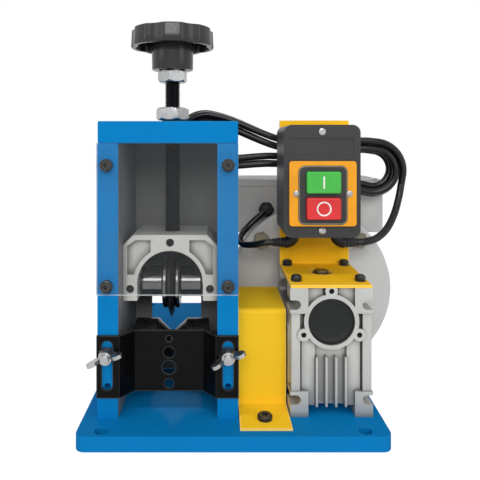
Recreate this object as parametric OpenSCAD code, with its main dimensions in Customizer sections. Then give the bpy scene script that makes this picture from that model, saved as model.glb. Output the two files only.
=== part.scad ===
// Motor-driven bench machine that slits the jacket of scrap cable between a V blade and a grooved roller.
// Millimetres. The origin is the middle of the base plate's underside, +Z is up and the wire enters from -Y.

/* [Base plate] */
// Width of the base plate
base_w = 282; // [276:1:340]
// Depth of the base plate
base_d = 380; // [374:1:460]
// Thickness of the base plate
base_t = 14; // [8:1:20]
// Radius of the base plate's corners
base_corner_r = 9; // [3:1:12]
// Diameter of the four bolt holes
base_hole_d = 12; // [8:0.5:14]
// Distance of the bolt holes from the side edges
base_hole_in_x = 22.5; // [16:0.5:26]
// Distance of the bolt holes from the front and back edges
base_hole_in_y = 10; // [9:0.5:14]

/* [Gate] */
// Middle of the gate, left of the base's middle
gate_x = -60.8; // [-70:0.1:-56]
// Distance of the gate's front from the base's front edge
gate_front = 29.5; // [26:0.5:34]
// Width of the gate
gate_w = 132; // [126:1:138]
// Depth of the gate
gate_d = 106; // [100:1:110]
// Height of the gate above the base
gate_h = 279; // [260:1:284]
// Thickness of the two posts
post_t = 19.5; // [16:0.5:21]
// Thickness of the top plate
top_t = 21; // [14:1:24]
// Thickness of the rear panel
panel_t = 2; // [1:0.5:3]
// Width of the wire outlet in the rear panel
outlet_w = 56; // [30:1:70]
// Height of the wire outlet in the rear panel
outlet_h = 62; // [30:1:70]

/* [Front guard] */
// Height of the clear guard
guard_h = 142; // [120:1:150]
// Thickness of the clear guard
guard_t = 4; // [3:0.5:6]
// Height of the guard's lower edge above the base
guard_z = 116.5; // [112:0.5:120]
// Distance of the guard's screws from the middle of the gate
guard_screw_x = 56.5; // [55:0.5:58]
// Distance of the guard's screws from its lower edge
guard_screw_low = 8.8; // [7:0.1:14]
// Distance of the guard's screws from its upper edge
guard_screw_high = 20.8; // [10:0.1:30]

/* [Cutter head] */
// Height of the cutter axis above the base
cutter_z = 115; // [112:0.5:118]
// Distance of the cutter and feed axes behind the gate's front
axis_back = 53; // [53:0.5:56]
// Radius of the V blade's edge
blade_r = 35.5; // [33:0.5:35.5]
// Thickness of the V blade
blade_t = 6; // [4:0.5:8]
// Width of the bevel on each side of the V blade
blade_bevel = 6.5; // [4:0.5:7]
// Radius of the cutter's hub flanges
hub_r = 26.5; // [22:0.5:27]
// Width over the two hub flanges
hub_w = 17; // [14:0.5:20]
// Diameter of the cutter axle
axle_d = 16; // [12:0.5:18]
// Diameter of the collars on the axle
collar_d = 30; // [24:0.5:34]
// Depth of the yoke from front to back
yoke_d = 60; // [50:1:64]
// Height of the yoke's top above the cutter axis
yoke_up = 53; // [50:0.5:60]
// Depth of the yoke's feet below the cutter axis
yoke_down = 11.5; // [10:0.5:13]
// Width of the yoke's arch
arch_w = 64.6; // [60:0.2:66]
// Height of the arch above the cutter axis
arch_up = 37.5; // [37.5:0.5:40]

/* [Pressure screw] */
// Diameter of the adjusting screw
screw_d = 16; // [12:0.5:18]
// Width of the lock nut across its flats
nut_af = 27; // [24:0.5:30]
// Height of the lock nut
nut_h = 13; // [8:0.5:15]
// Width of the jam nut across its flats
jam_af = 24; // [22:0.5:30]
// Height of the jam nut
jam_h = 12.5; // [8:0.5:13]
// Height of the jam nut's underside above the gate
jam_rise = 42; // [40:0.5:60]
// Outer diameter of the hand knob
knob_d = 84; // [70:1:96]
// Height of the hand knob's grip
knob_h = 27; // [20:1:32]
// Diameter of the hand knob's hub
knob_hub_d = 42; // [36:1:46]
// Height of the hand knob's hub
knob_hub_h = 25; // [16:1:30]
// Number of lobes on the hand knob
knob_lobes = 8; // [5:1:10]

/* [Feed] */
// Height of the feed axis above the base
feed_z = 49.5; // [48:0.5:49.5]
// Radius of the feed roller
roller_r = 26; // [22:0.5:27]
// Length of the feed roller
roller_len = 76; // [60:1:82]
// Radius at the bottom of the roller's V groove
groove_r = 13; // [12:0.5:15]
// Width of the roller's V groove
groove_w = 30; // [24:1:40]
// Diameter of the feed shaft and the output shaft
shaft_d = 17; // [14:0.5:18]
// Outer diameter of the shaft bearings
bearing_d = 40; // [36:1:42]
// Width of the shaft bearings
bearing_w = 12; // [9:0.5:13]
// Outer diameter of the jaw coupling
coupling_d = 46; // [40:1:48]

/* [Wire guide] */
// Distance of the guide's slots from the middle of the gate
guide_slot_x = 56.5; // [55:0.5:58]
// Height of the guide's lower edge above the base
guide_z = 20; // [18:0.5:22]
// Height of the guide plate
guide_h = 58.5; // [54:0.5:60]
// Thickness of the guide's sheet
guide_t = 2; // [1.5:0.5:2.5]
// Depth of the recess between the guide's flanges
guide_recess = 13; // [8:0.5:13]
// Width of the recessed web
guide_web_w = 66; // [56:1:70]
// Width of the guide's flanges
guide_flange_w = 20; // [19:0.5:20]
// Height of the studs above the base
stud_z = 60.5; // [58:0.5:62]
// Diameter of the studs
stud_d = 8; // [6:0.5:9]

/* [Coupling cover] */
// Gap of the coupling cover to the gate and to the gearbox
cover_gap = 1; // [0.5:0.5:2]
// Height of the coupling cover above the base
cover_h = 94.5; // [88:0.5:98]
// Distance of the cover's front face from the base's front edge
cover_front = 55; // [50:0.5:56]
// Depth of the cover's upper face
cover_d = 83.5; // [80:0.5:83.5]
// Thickness of the cover's sheet
cover_t = 2; // [1.5:0.5:2.5]
// Length of the cover's foot
cover_foot = 46; // [40:1:48]

/* [Gearbox] */
// Middle of the gearbox, right of the base's middle
gear_x = 93.5; // [88:0.5:100]
// Width of the gearbox over its side covers
gear_w = 78; // [76:1:78]
// Width of the gearbox casting
casting_w = 60; // [58:1:62]
// Depth of the gearbox casting
gear_d = 100; // [96:1:100]
// Height of the gearbox
gear_h = 121.5; // [119:0.5:124]
// Teeth of the worm wheel
wheel_teeth = 30; // [27:1:32]
// Module of the worm wheel
wheel_module = 2; // [1.8:0.1:2.1]
// Pitch radius of the worm
worm_r = 10; // [9:0.5:12]
// Diameter of the worm shaft and the motor shaft
worm_shaft_d = 15; // [12:0.5:15]
// Radius of the worm's boss
boss_r = 26; // [25:0.5:27]
// Radius of the black cap in the boss
cap_r = 22; // [20:0.5:22.5]
// Number of cooling fins on the casting
fin_count = 4; // [3:1:5]

/* [Motor] */
// Radius of the motor flange
flange_r = 94; // [88:1:94]
// Thickness of the motor flange
flange_t = 13; // [10:0.5:14]
// Gap between the gearbox casting and the motor flange
flange_gap = 13.5; // [12:0.5:16]
// Radius of the circle of the flange bolts
flange_bolt_r = 80; // [74:1:82]
// Outer radius of the motor's fins
motor_r = 70; // [66:1:72]
// Depth of the motor's fins
motor_fin = 7; // [4:0.5:8]
// Number of motor fins
motor_fins = 32; // [20:2:36]
// Length of the motor's casing
motor_len = 150; // [130:1:160]
// Length of the fan cowl
cowl_len = 58; // [50:1:60]

/* [Terminal box] */
// Width of the terminal box
tbox_w = 190; // [150:1:190]
// Depth of the terminal box
tbox_d = 96; // [80:1:100]
// Height of the terminal box's lid above the base
tbox_top = 213; // [208:1:216]
// Height of the terminal box's underside above the base
tbox_low = 150; // [148:1:152]
// Thickness of the terminal box's lid
tlid_t = 7; // [4:0.5:10]

/* [Switch] */
// Width of the switch box
switch_w = 76; // [72:1:80]
// Height of the switch box
switch_h = 112; // [104:1:116]
// Depth of the switch box without its lid
switch_d = 42; // [36:1:44]
// Depth of the switch box's lid
slid_d = 18; // [14:1:20]
// Middle of the switch box above the base
switch_z = 220.5; // [219:0.5:224]
// Width of the faceplate
face_w = 66; // [60:1:68]
// Height of the faceplate
face_h = 64; // [60:1:66]
// Travel of the push buttons
button_travel = 4; // [2:0.5:5]
// Thickness of the bracket's sheet
bracket_t = 3; // [2:0.5:3]
// Width of the bracket
bracket_w = 77; // [74:1:78]
// Height of the bracket above the gearbox
bracket_h = 162; // [158:1:166]

/* [Cords] */
// Diameter of the mains cord
cord_d = 8; // [6:0.5:8]
// Diameter of the motor lead
lead_d = 7; // [5:0.5:7]
// Loops in the hank
hank_turns = 3.5; // [2.5:1:3.5]
// Half length of the hank, from its middle to its outermost loop
hank_half = 133; // [125:1:134]
// Radius of the outermost fold
hank_fold_r = 34; // [32:0.5:36]
// Half height of the outermost loop at the waist
hank_waist = 18; // [17.5:0.5:20]
// Distance between neighbouring loops
hank_step = 9; // [9:0.1:9.5]

/* [Hidden] */
$fn = 64;

// Running clearance, clearance of still fits, and the gap that keeps neighbours apart
clear = 0.3;
fit = 0.05;
run_fit = 0.08;

// Places worked out from the sizes above; heights are measured from the top of the base
front_y = -base_d / 2;
gate_fy = front_y + gate_front;
gate_by = gate_fy + gate_d;
gate_r = gate_x + gate_w / 2;
axis_y = gate_fy + axis_back;
window_w = gate_w - 2 * post_t;
post_h = gate_h - top_t;
post_mid = (window_w + post_t) / 2;
yoke_w = window_w - 2 * clear;
yoke_chamfer = 10;
pad_w = 38;
pocket_deep = 6;
rim = 4;
set_screw_d = 8;
set_screw_sunk = 4;
screw_neck_d = screw_d - 4;
screw_end_z = cutter_z + arch_up + 4;
neck_z = screw_end_z + 4;
spacer_h = 3;
jam_z = gate_h + jam_rise;
knob_z = jam_z + jam_h;
knob_bite = 18;
knob_groove_r = 12;
roller_gap = (window_w - roller_len) / 2;
worm_z = feed_z + wheel_module * wheel_teeth / 2 + worm_r;
gear_l = gear_x - gear_w / 2;
gear_r = gear_x + gear_w / 2;
gear_fy = axis_y - gear_d / 2;
gear_by = axis_y + gear_d / 2;
cover_l = gate_r + cover_gap;
cover_w = gear_l - cover_gap - cover_l;
cover_fy = front_y + cover_front;
cover_bolt_in = 17;
coupling_gap = 3;
coupling_l = gate_r + coupling_gap;
coupling_len = gear_l - coupling_gap - coupling_l;
jaw_len = 12;
jaw_angle = 44;
jaw_count = 3;
spider_r = 12;
hub_len = (coupling_len - jaw_len) / 2;
side_cover_t = (gear_w - casting_w) / 2;
wheel_r = wheel_module * wheel_teeth / 2;
wheel_face = 14;
cavity_r = wheel_r + wheel_module + 3;
side_cover_r = cavity_r + 8;
worm_bearing_d = 2 * worm_r + 15;
worm_bearing_w = 11;
worm_len = 44;
worm_core_r = worm_r - 1.25 * wheel_module;
cap_t = 5;
cap_sunk = 2;
lug_w = 17;
lug_h = 24;
lug_d = 22;
slot_w = 9;
slot_in = 10;
foot_arch = 9;
flange_y = gear_by + flange_gap;
flange_clear = 1.5;
motor_y = flange_y + flange_t;
shield_t = 14;
motor_back = motor_y + motor_len;
rotor_gap = 1;
rotor_r = 38;
stator_r = rotor_r + rotor_gap;
fan_r = 54;
cowl_r = motor_r - 1;
cowl_wall = 1.6;
tbox_back = 13;
tbox_y = motor_y + tbox_back;
bracket_back = 90;
bracket_screw_x = 31;
bracket_screw_y = [-35, 29.5];
plate_y = gear_fy + bracket_back;
plate_fy = plate_y - bracket_t;
foot_pad = 3;
box_by = plate_fy - foot_pad;
lid_by = box_by - switch_d;
lid_fy = lid_by - slid_d;
face_t = 3.5;
face_fy = lid_fy - face_t;
face_z = switch_z - 12;
block_w = 44;
block_h = 54;
block_d = 34;
block_proud = 1;
block_z = face_z - 1.5;
button_w = 33.5;
button_h = 21.5;
button_pitch = 25.5;
button_proud = 5;
button_d = 14;
box_wall = 3;
box_corner_r = 8;

// Round shapes in two dimensions
module rounded_rect(w, h, r) {
    square([w - 2 * r, h], center = true);
    square([w, h - 2 * r], center = true);
    for (sx = [-1, 1], sy = [-1, 1])
        translate([sx * (w / 2 - r), sy * (h / 2 - r)]) circle(r, $fn = 32);
}

// Directions: a cylinder or outline drawn along +Z is laid along +X or +Y
module along_x() { rotate([90, 0, 90]) children(); }
module along_y() { rotate([-90, 0, 0]) children(); }
module on_base() { translate([0, 0, base_t]) children(); }
module at_gate() { translate([gate_x, 0, base_t]) children(); }
module feed_axis(x) { translate([x, axis_y, base_t + feed_z]) along_x() children(); }
module cutter_axis(x) { translate([gate_x + x, axis_y, base_t + cutter_z]) along_x() children(); }
module worm_axis(y) { translate([gear_x, y, base_t + worm_z]) along_y() children(); }
module screw_axis(z) { translate([gate_x, axis_y, base_t + z]) children(); }

module ring(r_out, r_in, h) {
    difference() {
        cylinder(r = r_out, h = h);
        translate([0, 0, -1]) cylinder(r = r_in, h = h + 2);
    }
}

module hex(af, h) { cylinder(d = af / cos(30), h = h, $fn = 6); }

module hex_nut(af, h, bore_d) {
    difference() {
        intersection() {
            hex(af, h);
            rotate_extrude() polygon([[0, 0], [af * 0.5, 0], [af * 0.58, h * 0.12],
                [af * 0.58, h * 0.88], [af * 0.5, h], [0, h]]);
        }
        translate([0, 0, -1]) cylinder(d = bore_d, h = h + 2);
    }
}

// A socket head screw whose head stands on z = 0 and whose shank points down
module socket_screw(d, len, head_d, head_h) {
    difference() {
        union() {
            translate([0, 0, -len]) cylinder(d = d, h = len + 0.01);
            rotate_extrude() polygon([[0, 0], [head_d / 2, 0], [head_d / 2, head_h * 0.75],
                [head_d / 2 - head_h * 0.25, head_h], [0, head_h]]);
        }
        translate([0, 0, head_h * 0.45]) hex(d * 0.8, head_h);
    }
}

module bearing_ring(od, id, w) {
    groove = 0.8;
    wall = (od - id) / 2;
    rotate_extrude() translate([id / 2, 0]) polygon([[0, 0], [wall * 0.28, 0], [wall * 0.28, groove],
        [wall * 0.72, groove], [wall * 0.72, 0], [wall, 0], [wall, w], [wall * 0.72, w],
        [wall * 0.72, w - groove], [wall * 0.28, w - groove], [wall * 0.28, w], [0, w]]);
}

// Folded sheet metal: a path with rounded bends, thickened to its left
function unit(v) = v / norm(v);
function left_of(v) = [-v[1], v[0]];
function step_of(path, i) = unit(path[i + 1] - path[i]);
function side_at(path, i) =
    i == 0 ? left_of(step_of(path, 0)) :
    i == len(path) - 1 ? left_of(step_of(path, i - 1)) :
    let (a = left_of(step_of(path, i - 1)), b = left_of(step_of(path, i))) (a + b) / (1 + a * b);
function bend(path, i, r, n) =
    let (p = path[i], a = p - r * step_of(path, i - 1), b = p + r * step_of(path, i))
    [for (k = [0:n]) let (f = k / n) (1 - f) * (1 - f) * a + 2 * f * (1 - f) * p + f * f * b];
function bent(path, r) = [
    path[0],
    for (i = [1:len(path) - 2]) each bend(path, i, r, 5),
    path[len(path) - 1]
];
function sheet(path, t) = concat(path, [for (i = [len(path) - 1:-1:0]) path[i] + t * side_at(path, i)]);

// Cords: a smooth route through points, and a closed tube swept along it
function spline(a, b, c, d, f) =
    0.5 * (2 * b + (c - a) * f + (2 * a - 5 * b + 4 * c - d) * f * f + (3 * b - a - 3 * c + d) * f * f * f);
function smooth(p, n) = [
    for (i = [0:len(p) - 2], k = [0:n - 1])
        spline(p[max(i - 1, 0)], p[i], p[i + 1], p[min(i + 2, len(p) - 1)], k / n),
    p[len(p) - 1]
];
function heading(p, i) = unit(p[min(i + 1, len(p) - 1)] - p[max(i - 1, 0)]);
function square_to(n, t) = unit(n - (n * t) * t);
function carried(p, start) = [
    for (i = 0, n = square_to(start, heading(p, 0)); i < len(p);
        i = i + 1, n = i < len(p) ? square_to(n, heading(p, i)) : n) n
];
module tube(p, r, sides, start = [0, 1, 0.1]) {
    normals = carried(p, start);
    last = len(p) - 1;
    points = [
        for (i = [0:last], k = [0:sides - 1])
            let (t = heading(p, i), n = normals[i], b = cross(t, n), a = 360 * k / sides)
            p[i] + r * (cos(a) * n + sin(a) * b)
    ];
    walls = [
        for (i = [0:last - 1], k = [0:sides - 1], half = [0, 1])
            let (a = i * sides + k, b = i * sides + (k + 1) % sides)
            half == 0 ? [a, a + sides, b] : [b, a + sides, b + sides]
    ];
    first_cap = [for (k = [1:sides - 2]) [0, k, k + 1]];
    last_cap = [for (k = [1:sides - 2]) [last * sides, last * sides + k + 1, last * sides + k]];
    polyhedron(points, concat(walls, first_cap, last_cap));
}

// Base plate with four bolt holes and the rounded corners of a flame-cut plate
module base_plate() {
    color([0.1, 0.46, 0.74]) difference() {
        linear_extrude(base_t) rounded_rect(base_w, base_d, base_corner_r);
        for (sx = [-1, 1], sy = [-1, 1])
            translate([sx * (base_w / 2 - base_hole_in_x), sy * (base_d / 2 - base_hole_in_y), -1])
                cylinder(d = base_hole_d, h = base_t + 2);
        translate([cover_l + cover_w / 2, cover_fy - cover_foot + cover_bolt_in, base_t - 10])
            cylinder(d = 8 + 2 * fit, h = 11);
    }
}

// One post of the gate: bearing seat on its inner face, tapped holes on its front
module post(side) {
    inner = side * window_w / 2;
    difference() {
        translate([side > 0 ? inner : inner - post_t, gate_fy, 0]) cube([post_t, gate_d, post_h]);
        translate([inner - side, axis_y, feed_z]) rotate([0, side * 90, 0])
            cylinder(d = bearing_d + 2 * fit, h = bearing_w + 1);
        translate([inner - side, axis_y, feed_z]) rotate([0, side * 90, 0])
            cylinder(d = shaft_d + 6, h = post_t + 2);
        for (z = [guard_z + guard_screw_low, guard_z + guard_h - guard_screw_high])
            translate([side * guard_screw_x, gate_fy - 1, z]) along_y() cylinder(d = 6 + 2 * fit, h = 17);
        translate([side * guide_slot_x, gate_fy - 1, stud_z]) along_y()
            cylinder(d = stud_d + 2 * fit, h = 17);
        translate([side * guide_slot_x, gate_fy - 1, stud_z / 2]) along_y() cylinder(d = 6, h = 13);
        panel_screw_places() translate([0, 0, -panel_t - 10]) cylinder(d = 4 + 2 * fit, h = panel_t + 11);
    }
}

module left_post() { color([0.1, 0.46, 0.74]) at_gate() post(-1); }
module right_post() { color([0.1, 0.46, 0.74]) at_gate() post(1); }

module top_plate() {
    color([0.1, 0.46, 0.74]) at_gate() difference() {
        translate([-gate_w / 2, gate_fy, post_h]) cube([gate_w, gate_d, top_t]);
        translate([0, axis_y, post_h - 1]) cylinder(d = screw_d + 2 * clear, h = top_t + 2);
    }
}

// Sheet panel on the back of the gate, with the outlet for the stripped wire
module rear_panel() {
    color([0.33, 0.34, 0.36]) at_gate() difference() {
        translate([-gate_w / 2, gate_by, 1]) cube([gate_w, panel_t, gate_h - top_t / 2 - 1]);
        translate([0, gate_by - 1, feed_z + roller_r - outlet_h / 2 + 12]) along_y()
            linear_extrude(panel_t + 2) rounded_rect(outlet_w, outlet_h, 6);
        panel_screw_places() translate([0, 0, -panel_t - 1]) cylinder(d = 4 + 2 * fit, h = panel_t + 2);
    }
}

module front_guard() {
    color([0.8, 0.85, 0.88, 0.4]) at_gate() difference() {
        translate([-gate_w / 2, gate_fy - guard_t, guard_z]) cube([gate_w, guard_t, guard_h]);
        guard_holes() cylinder(d = 6 + 2 * fit, h = guard_t + 2);
    }
}

module guard_holes() {
    for (sx = [-1, 1], z = [guard_z + guard_screw_low, guard_z + guard_h - guard_screw_high])
        translate([sx * guard_screw_x, gate_fy - guard_t - 1, z]) along_y() children();
}

// Socket screws of the guard and the bracket, and the coupling cover's bolt
module cap_screws() {
    color([0.08, 0.08, 0.09]) {
        at_gate() guard_holes() translate([0, 0, 1]) mirror([0, 0, 1])
            socket_screw(6, guard_t + 12, 12, 4.5);
        bracket_holes() socket_screw(6, bracket_t + 12, 10.5, 6);
        translate([cover_l + cover_w / 2, cover_fy - cover_foot + cover_bolt_in, base_t + cover_t])
            socket_screw(8, cover_t + 7, 14, 4.5);
    }
}

module bracket_holes() {
    for (sx = [-1, 1], y = bracket_screw_y)
        translate([gear_x + sx * bracket_screw_x, axis_y + y, base_t + gear_h + bracket_t]) children();
}

module screw_spacer() {
    color([0.12, 0.12, 0.13]) screw_axis(gate_h) ring(screw_d / 2 + 3, screw_d / 2 + clear, spacer_h);
}

module lock_nut() {
    color([0.75, 0.76, 0.78]) screw_axis(gate_h + spacer_h) hex_nut(nut_af, nut_h, screw_d + 2 * clear);
}

module jam_nut() {
    color([0.75, 0.76, 0.78]) screw_axis(jam_z) rotate(20) hex_nut(jam_af, jam_h, screw_d + 2 * fit);
}

// Screw with a necked end, held in the yoke by the point of a set screw
module adjusting_screw() {
    top = knob_z + knob_bite - screw_end_z;
    neck = neck_z - screw_end_z;
    color([0.1, 0.1, 0.1]) screw_axis(screw_end_z) rotate_extrude() polygon([[0, 0], [screw_d / 2 - 1, 0],
        [screw_d / 2, 1], [screw_d / 2, neck - 3], [screw_neck_d / 2, neck - 3],
        [screw_neck_d / 2, neck + 3], [screw_d / 2, neck + 3], [screw_d / 2, top], [0, top]]);
}

// Lobed knob: a turned grip with scallops, hollow underneath round its hub
module hand_knob() {
    r = knob_d / 2;
    color([0.13, 0.13, 0.14]) screw_axis(knob_z) difference() {
        rotate_extrude() polygon([[0, 0], [knob_hub_d / 2 - 1, 0], [knob_hub_d / 2, 1],
            [knob_hub_d / 2, knob_hub_h + 14], [r - 9, knob_hub_h + 14], [r - 9, knob_hub_h],
            [r - 1.5, knob_hub_h], [r, knob_hub_h + 1.5], [r, knob_hub_h + knob_h - 7],
            [r - 2, knob_hub_h + knob_h - 3], [r - 7, knob_hub_h + knob_h - 1],
            [r * 0.4, knob_hub_h + knob_h], [0, knob_hub_h + knob_h]]);
        for (i = [0:knob_lobes - 1])
            rotate(360 / knob_lobes * (i + 0.5)) translate([r + 7.5, 0, knob_hub_h - 1])
                cylinder(r = knob_groove_r, h = knob_h + 2);
        translate([0, 0, -1]) cylinder(d = screw_d + 2 * fit, h = knob_bite + 1.5);
    }
}

// Cast yoke: an arch with chamfered shoulders, framed pockets and a centre pad
module yoke_outline() {
    difference() {
        polygon([[-yoke_w / 2, -yoke_down], [yoke_w / 2, -yoke_down], [yoke_w / 2, yoke_up - yoke_chamfer],
            [yoke_w / 2 - yoke_chamfer, yoke_up], [yoke_chamfer - yoke_w / 2, yoke_up],
            [-yoke_w / 2, yoke_up - yoke_chamfer]]);
        arch_outline(0);
    }
}

module arch_outline(wall) {
    r = arch_w / 2 + wall;
    translate([0, arch_up - arch_w / 2]) circle(r);
    translate([-r, -yoke_down - 1]) square([2 * r, arch_up - arch_w / 2 + yoke_down + 1]);
}

module yoke_pockets() {
    difference() {
        side = yoke_w / 2 - rim;
        shoulder = yoke_w / 2 - yoke_chamfer - 2;
        polygon([[-side, 14], [side, 14], [side, yoke_up - yoke_chamfer - 1], [shoulder, yoke_up - rim - 1],
            [-shoulder, yoke_up - rim - 1], [-side, yoke_up - yoke_chamfer - 1]]);
        arch_outline(rim);
        translate([-pad_w / 2, 0]) square([pad_w, yoke_up]);
    }
}

module bearing_yoke() {
    front = -yoke_d / 2;
    color([0.72, 0.72, 0.71]) translate([gate_x, axis_y, base_t + cutter_z]) difference() {
        rotate([90, 0, 0]) linear_extrude(yoke_d, center = true) yoke_outline();
        for (y = [front + pocket_deep, yoke_d / 2 + 1])
            translate([0, y, 0]) rotate([90, 0, 0]) linear_extrude(pocket_deep + 1) yoke_pockets();
        translate([-yoke_w, 0, 0]) along_x() cylinder(d = axle_d + 2 * fit, h = 2 * yoke_w);
        translate([0, 0, screw_end_z - cutter_z - 1]) cylinder(d = screw_d + 2 * run_fit, h = yoke_up);
        yoke_screw_places() cylinder(d = set_screw_d + 2 * fit, h = yoke_d / 2);
    }
}

module yoke_screw_places() {
    leg = (yoke_w + arch_w) / 4;
    for (p = [[-leg, 0], [leg, 0], [0, neck_z - cutter_z]])
        translate([p[0], -yoke_d / 2 - 0.01, p[1]]) along_y() children();
}

module yoke_set_screws() {
    reach = yoke_d / 2 - screw_neck_d / 2 - run_fit - set_screw_sunk;
    leg_reach = yoke_d / 2 - axle_d / 2 - fit - set_screw_sunk;
    leg = (yoke_w + arch_w) / 4;
    color([0.1, 0.1, 0.11]) translate([gate_x, axis_y - yoke_d / 2 + set_screw_sunk, base_t + cutter_z]) {
        for (sx = [-1, 1]) translate([sx * leg, 0, 0]) along_y() set_screw(leg_reach, set_screw_d);
        translate([0, 0, neck_z - cutter_z]) along_y() set_screw(reach, 5);
    }
}

// Grub screw with a hexagon socket, drawn from its socket towards a point of diameter tip
module set_screw(len, tip) {
    difference() {
        union() {
            cylinder(d = set_screw_d, h = len - 8);
            cylinder(d = tip, h = len);
        }
        translate([0, 0, -1]) hex(4, 5);
    }
}

module cutter_axle() {
    color([0.6, 0.61, 0.63]) cutter_axis(-yoke_w / 2 + 1) cylinder(d = axle_d, h = yoke_w - 2);
}

// Collars keep the hub in the middle and end where the arch's curve leaves room for them
module cutter_collars() {
    out = sqrt(pow(arch_w / 2, 2) - pow(collar_d / 2 + arch_w / 2 - arch_up, 2)) - clear;
    len = out - hub_w / 2 - clear;
    color([0.55, 0.56, 0.58]) for (x = [-out, hub_w / 2 + clear])
        cutter_axis(x) difference() {
            rotate_extrude() polygon([[0, 0], [collar_d / 2 - 1, 0], [collar_d / 2, 1],
                [collar_d / 2, len - 1], [collar_d / 2 - 1, len], [0, len]]);
            translate([0, 0, -1]) cylinder(d = axle_d + 2 * fit, h = len + 2);
        }
}

// Two flanges that clamp the blade between them
module cutter_hub() {
    w = (hub_w - blade_t) / 2;
    color([0.5, 0.51, 0.53]) for (side = [-1, 1])
        cutter_axis(side * blade_t / 2) mirror([0, 0, side > 0 ? 0 : 1]) difference() {
            rotate_extrude() polygon([[0, 0], [hub_r - 2, 0], [hub_r, 2], [hub_r, w - 1], [hub_r - 1, w],
                [collar_d / 2 + 2, w], [collar_d / 2 + 1, w - 0.8], [0, w - 0.8]]);
            translate([0, 0, -1]) cylinder(d = axle_d + 2 * run_fit, h = w + 2);
        }
}

module cutter_blade() {
    h = blade_t / 2;
    a = axle_d / 2 + run_fit;
    color([0.7, 0.71, 0.73]) cutter_axis(0) rotate_extrude() polygon([[a, -h], [blade_r - blade_bevel, -h],
        [blade_r, -0.15], [blade_r, 0.15], [blade_r - blade_bevel, h], [a, h]]);
}

// Feed roller with a V groove that carries the wire under the blade
module feed_roller() {
    a = shaft_d / 2 + fit;
    len = roller_len;
    color([0.1, 0.1, 0.11]) feed_axis(gate_x - len / 2) rotate_extrude() polygon([[a, 0], [roller_r - 1, 0],
        [roller_r, 1], [roller_r, (len - groove_w) / 2], [groove_r, len / 2 - 1], [groove_r, len / 2 + 1],
        [roller_r, (len + groove_w) / 2], [roller_r, len - 1], [roller_r - 1, len], [a, len]]);
}

module feed_spacers() {
    color([0.55, 0.56, 0.58]) for (x = [-window_w / 2 + clear, roller_len / 2])
        feed_axis(gate_x + x) ring(shaft_d / 2 + 4, shaft_d / 2 + fit, roller_gap - clear);
}

module feed_shaft() {
    start = gate_x - gate_w / 2 + 2;
    color([0.62, 0.63, 0.65]) feed_axis(start) cylinder(d = shaft_d, h = coupling_l + hub_len - 0.5 - start);
}

module output_shaft() {
    start = coupling_l + coupling_len - hub_len + 0.5;
    color([0.62, 0.63, 0.65]) feed_axis(start) cylinder(d = shaft_d, h = gear_r - 2 - start);
}

// Ball bearings of the feed shaft in the posts and of the output shaft in the side covers
module shaft_bearings() {
    seats = [gate_x - window_w / 2 - bearing_w, gate_x + window_w / 2, gear_l + 3, gear_r - 3 - bearing_w];
    color([0.7, 0.71, 0.73]) for (x = seats)
        feed_axis(x) bearing_ring(bearing_d, shaft_d + 2 * run_fit, bearing_w);
}

// Jaw coupling: each hub carries three jaws, with a soft spider between them
module coupling_half() {
    difference() {
        union() {
            cylinder(d = coupling_d, h = hub_len);
            for (i = [0:jaw_count - 1]) rotate(360 / jaw_count * i - jaw_angle / 2)
                rotate_extrude(angle = jaw_angle) translate([spider_r + 1.5, hub_len - 1])
                    square([coupling_d / 2 - spider_r - 2, jaw_len + 0.5]);
        }
        translate([0, 0, -1]) cylinder(d = shaft_d + 2 * fit, h = hub_len + jaw_len + 2);
    }
}

module coupling_hubs() {
    color([0.5, 0.5, 0.52]) {
        feed_axis(coupling_l) coupling_half();
        feed_axis(coupling_l + coupling_len) rotate([180, 0, 0]) rotate(180 / jaw_count) coupling_half();
    }
}

module coupling_spider() {
    color([0.75, 0.15, 0.1]) feed_axis(coupling_l + hub_len + 0.5) difference() {
        union() {
            cylinder(r = spider_r, h = jaw_len - 1);
            for (i = [0:2 * jaw_count - 1]) rotate(180 / jaw_count * (i + 0.5)) translate([0, -1.4, 0])
                cube([coupling_d / 2 - 1, 2.8, jaw_len - 1]);
        }
        translate([0, 0, -1]) cylinder(r = spider_r - 4, h = jaw_len + 2);
    }
}

// Folded cover over the coupling: a foot on the base, a front face, a roof and a back
module coupling_cover() {
    inner_y = cover_fy + cover_t;
    back_y = cover_fy + cover_d - cover_t;
    path = [[cover_fy - cover_foot, 0], [inner_y, 0], [inner_y, cover_h - cover_t],
        [back_y, cover_h - cover_t], [back_y, 0]];
    color([0.96, 0.78, 0.16]) difference() {
        translate([cover_l, 0, base_t]) along_x() linear_extrude(cover_w)
            polygon(sheet(bent(path, 3), cover_t));
        translate([cover_l + cover_w / 2, cover_fy - cover_foot + cover_bolt_in, base_t - 1])
            cylinder(d = 8 + 2 * fit, h = cover_t + 2);
    }
}

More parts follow.
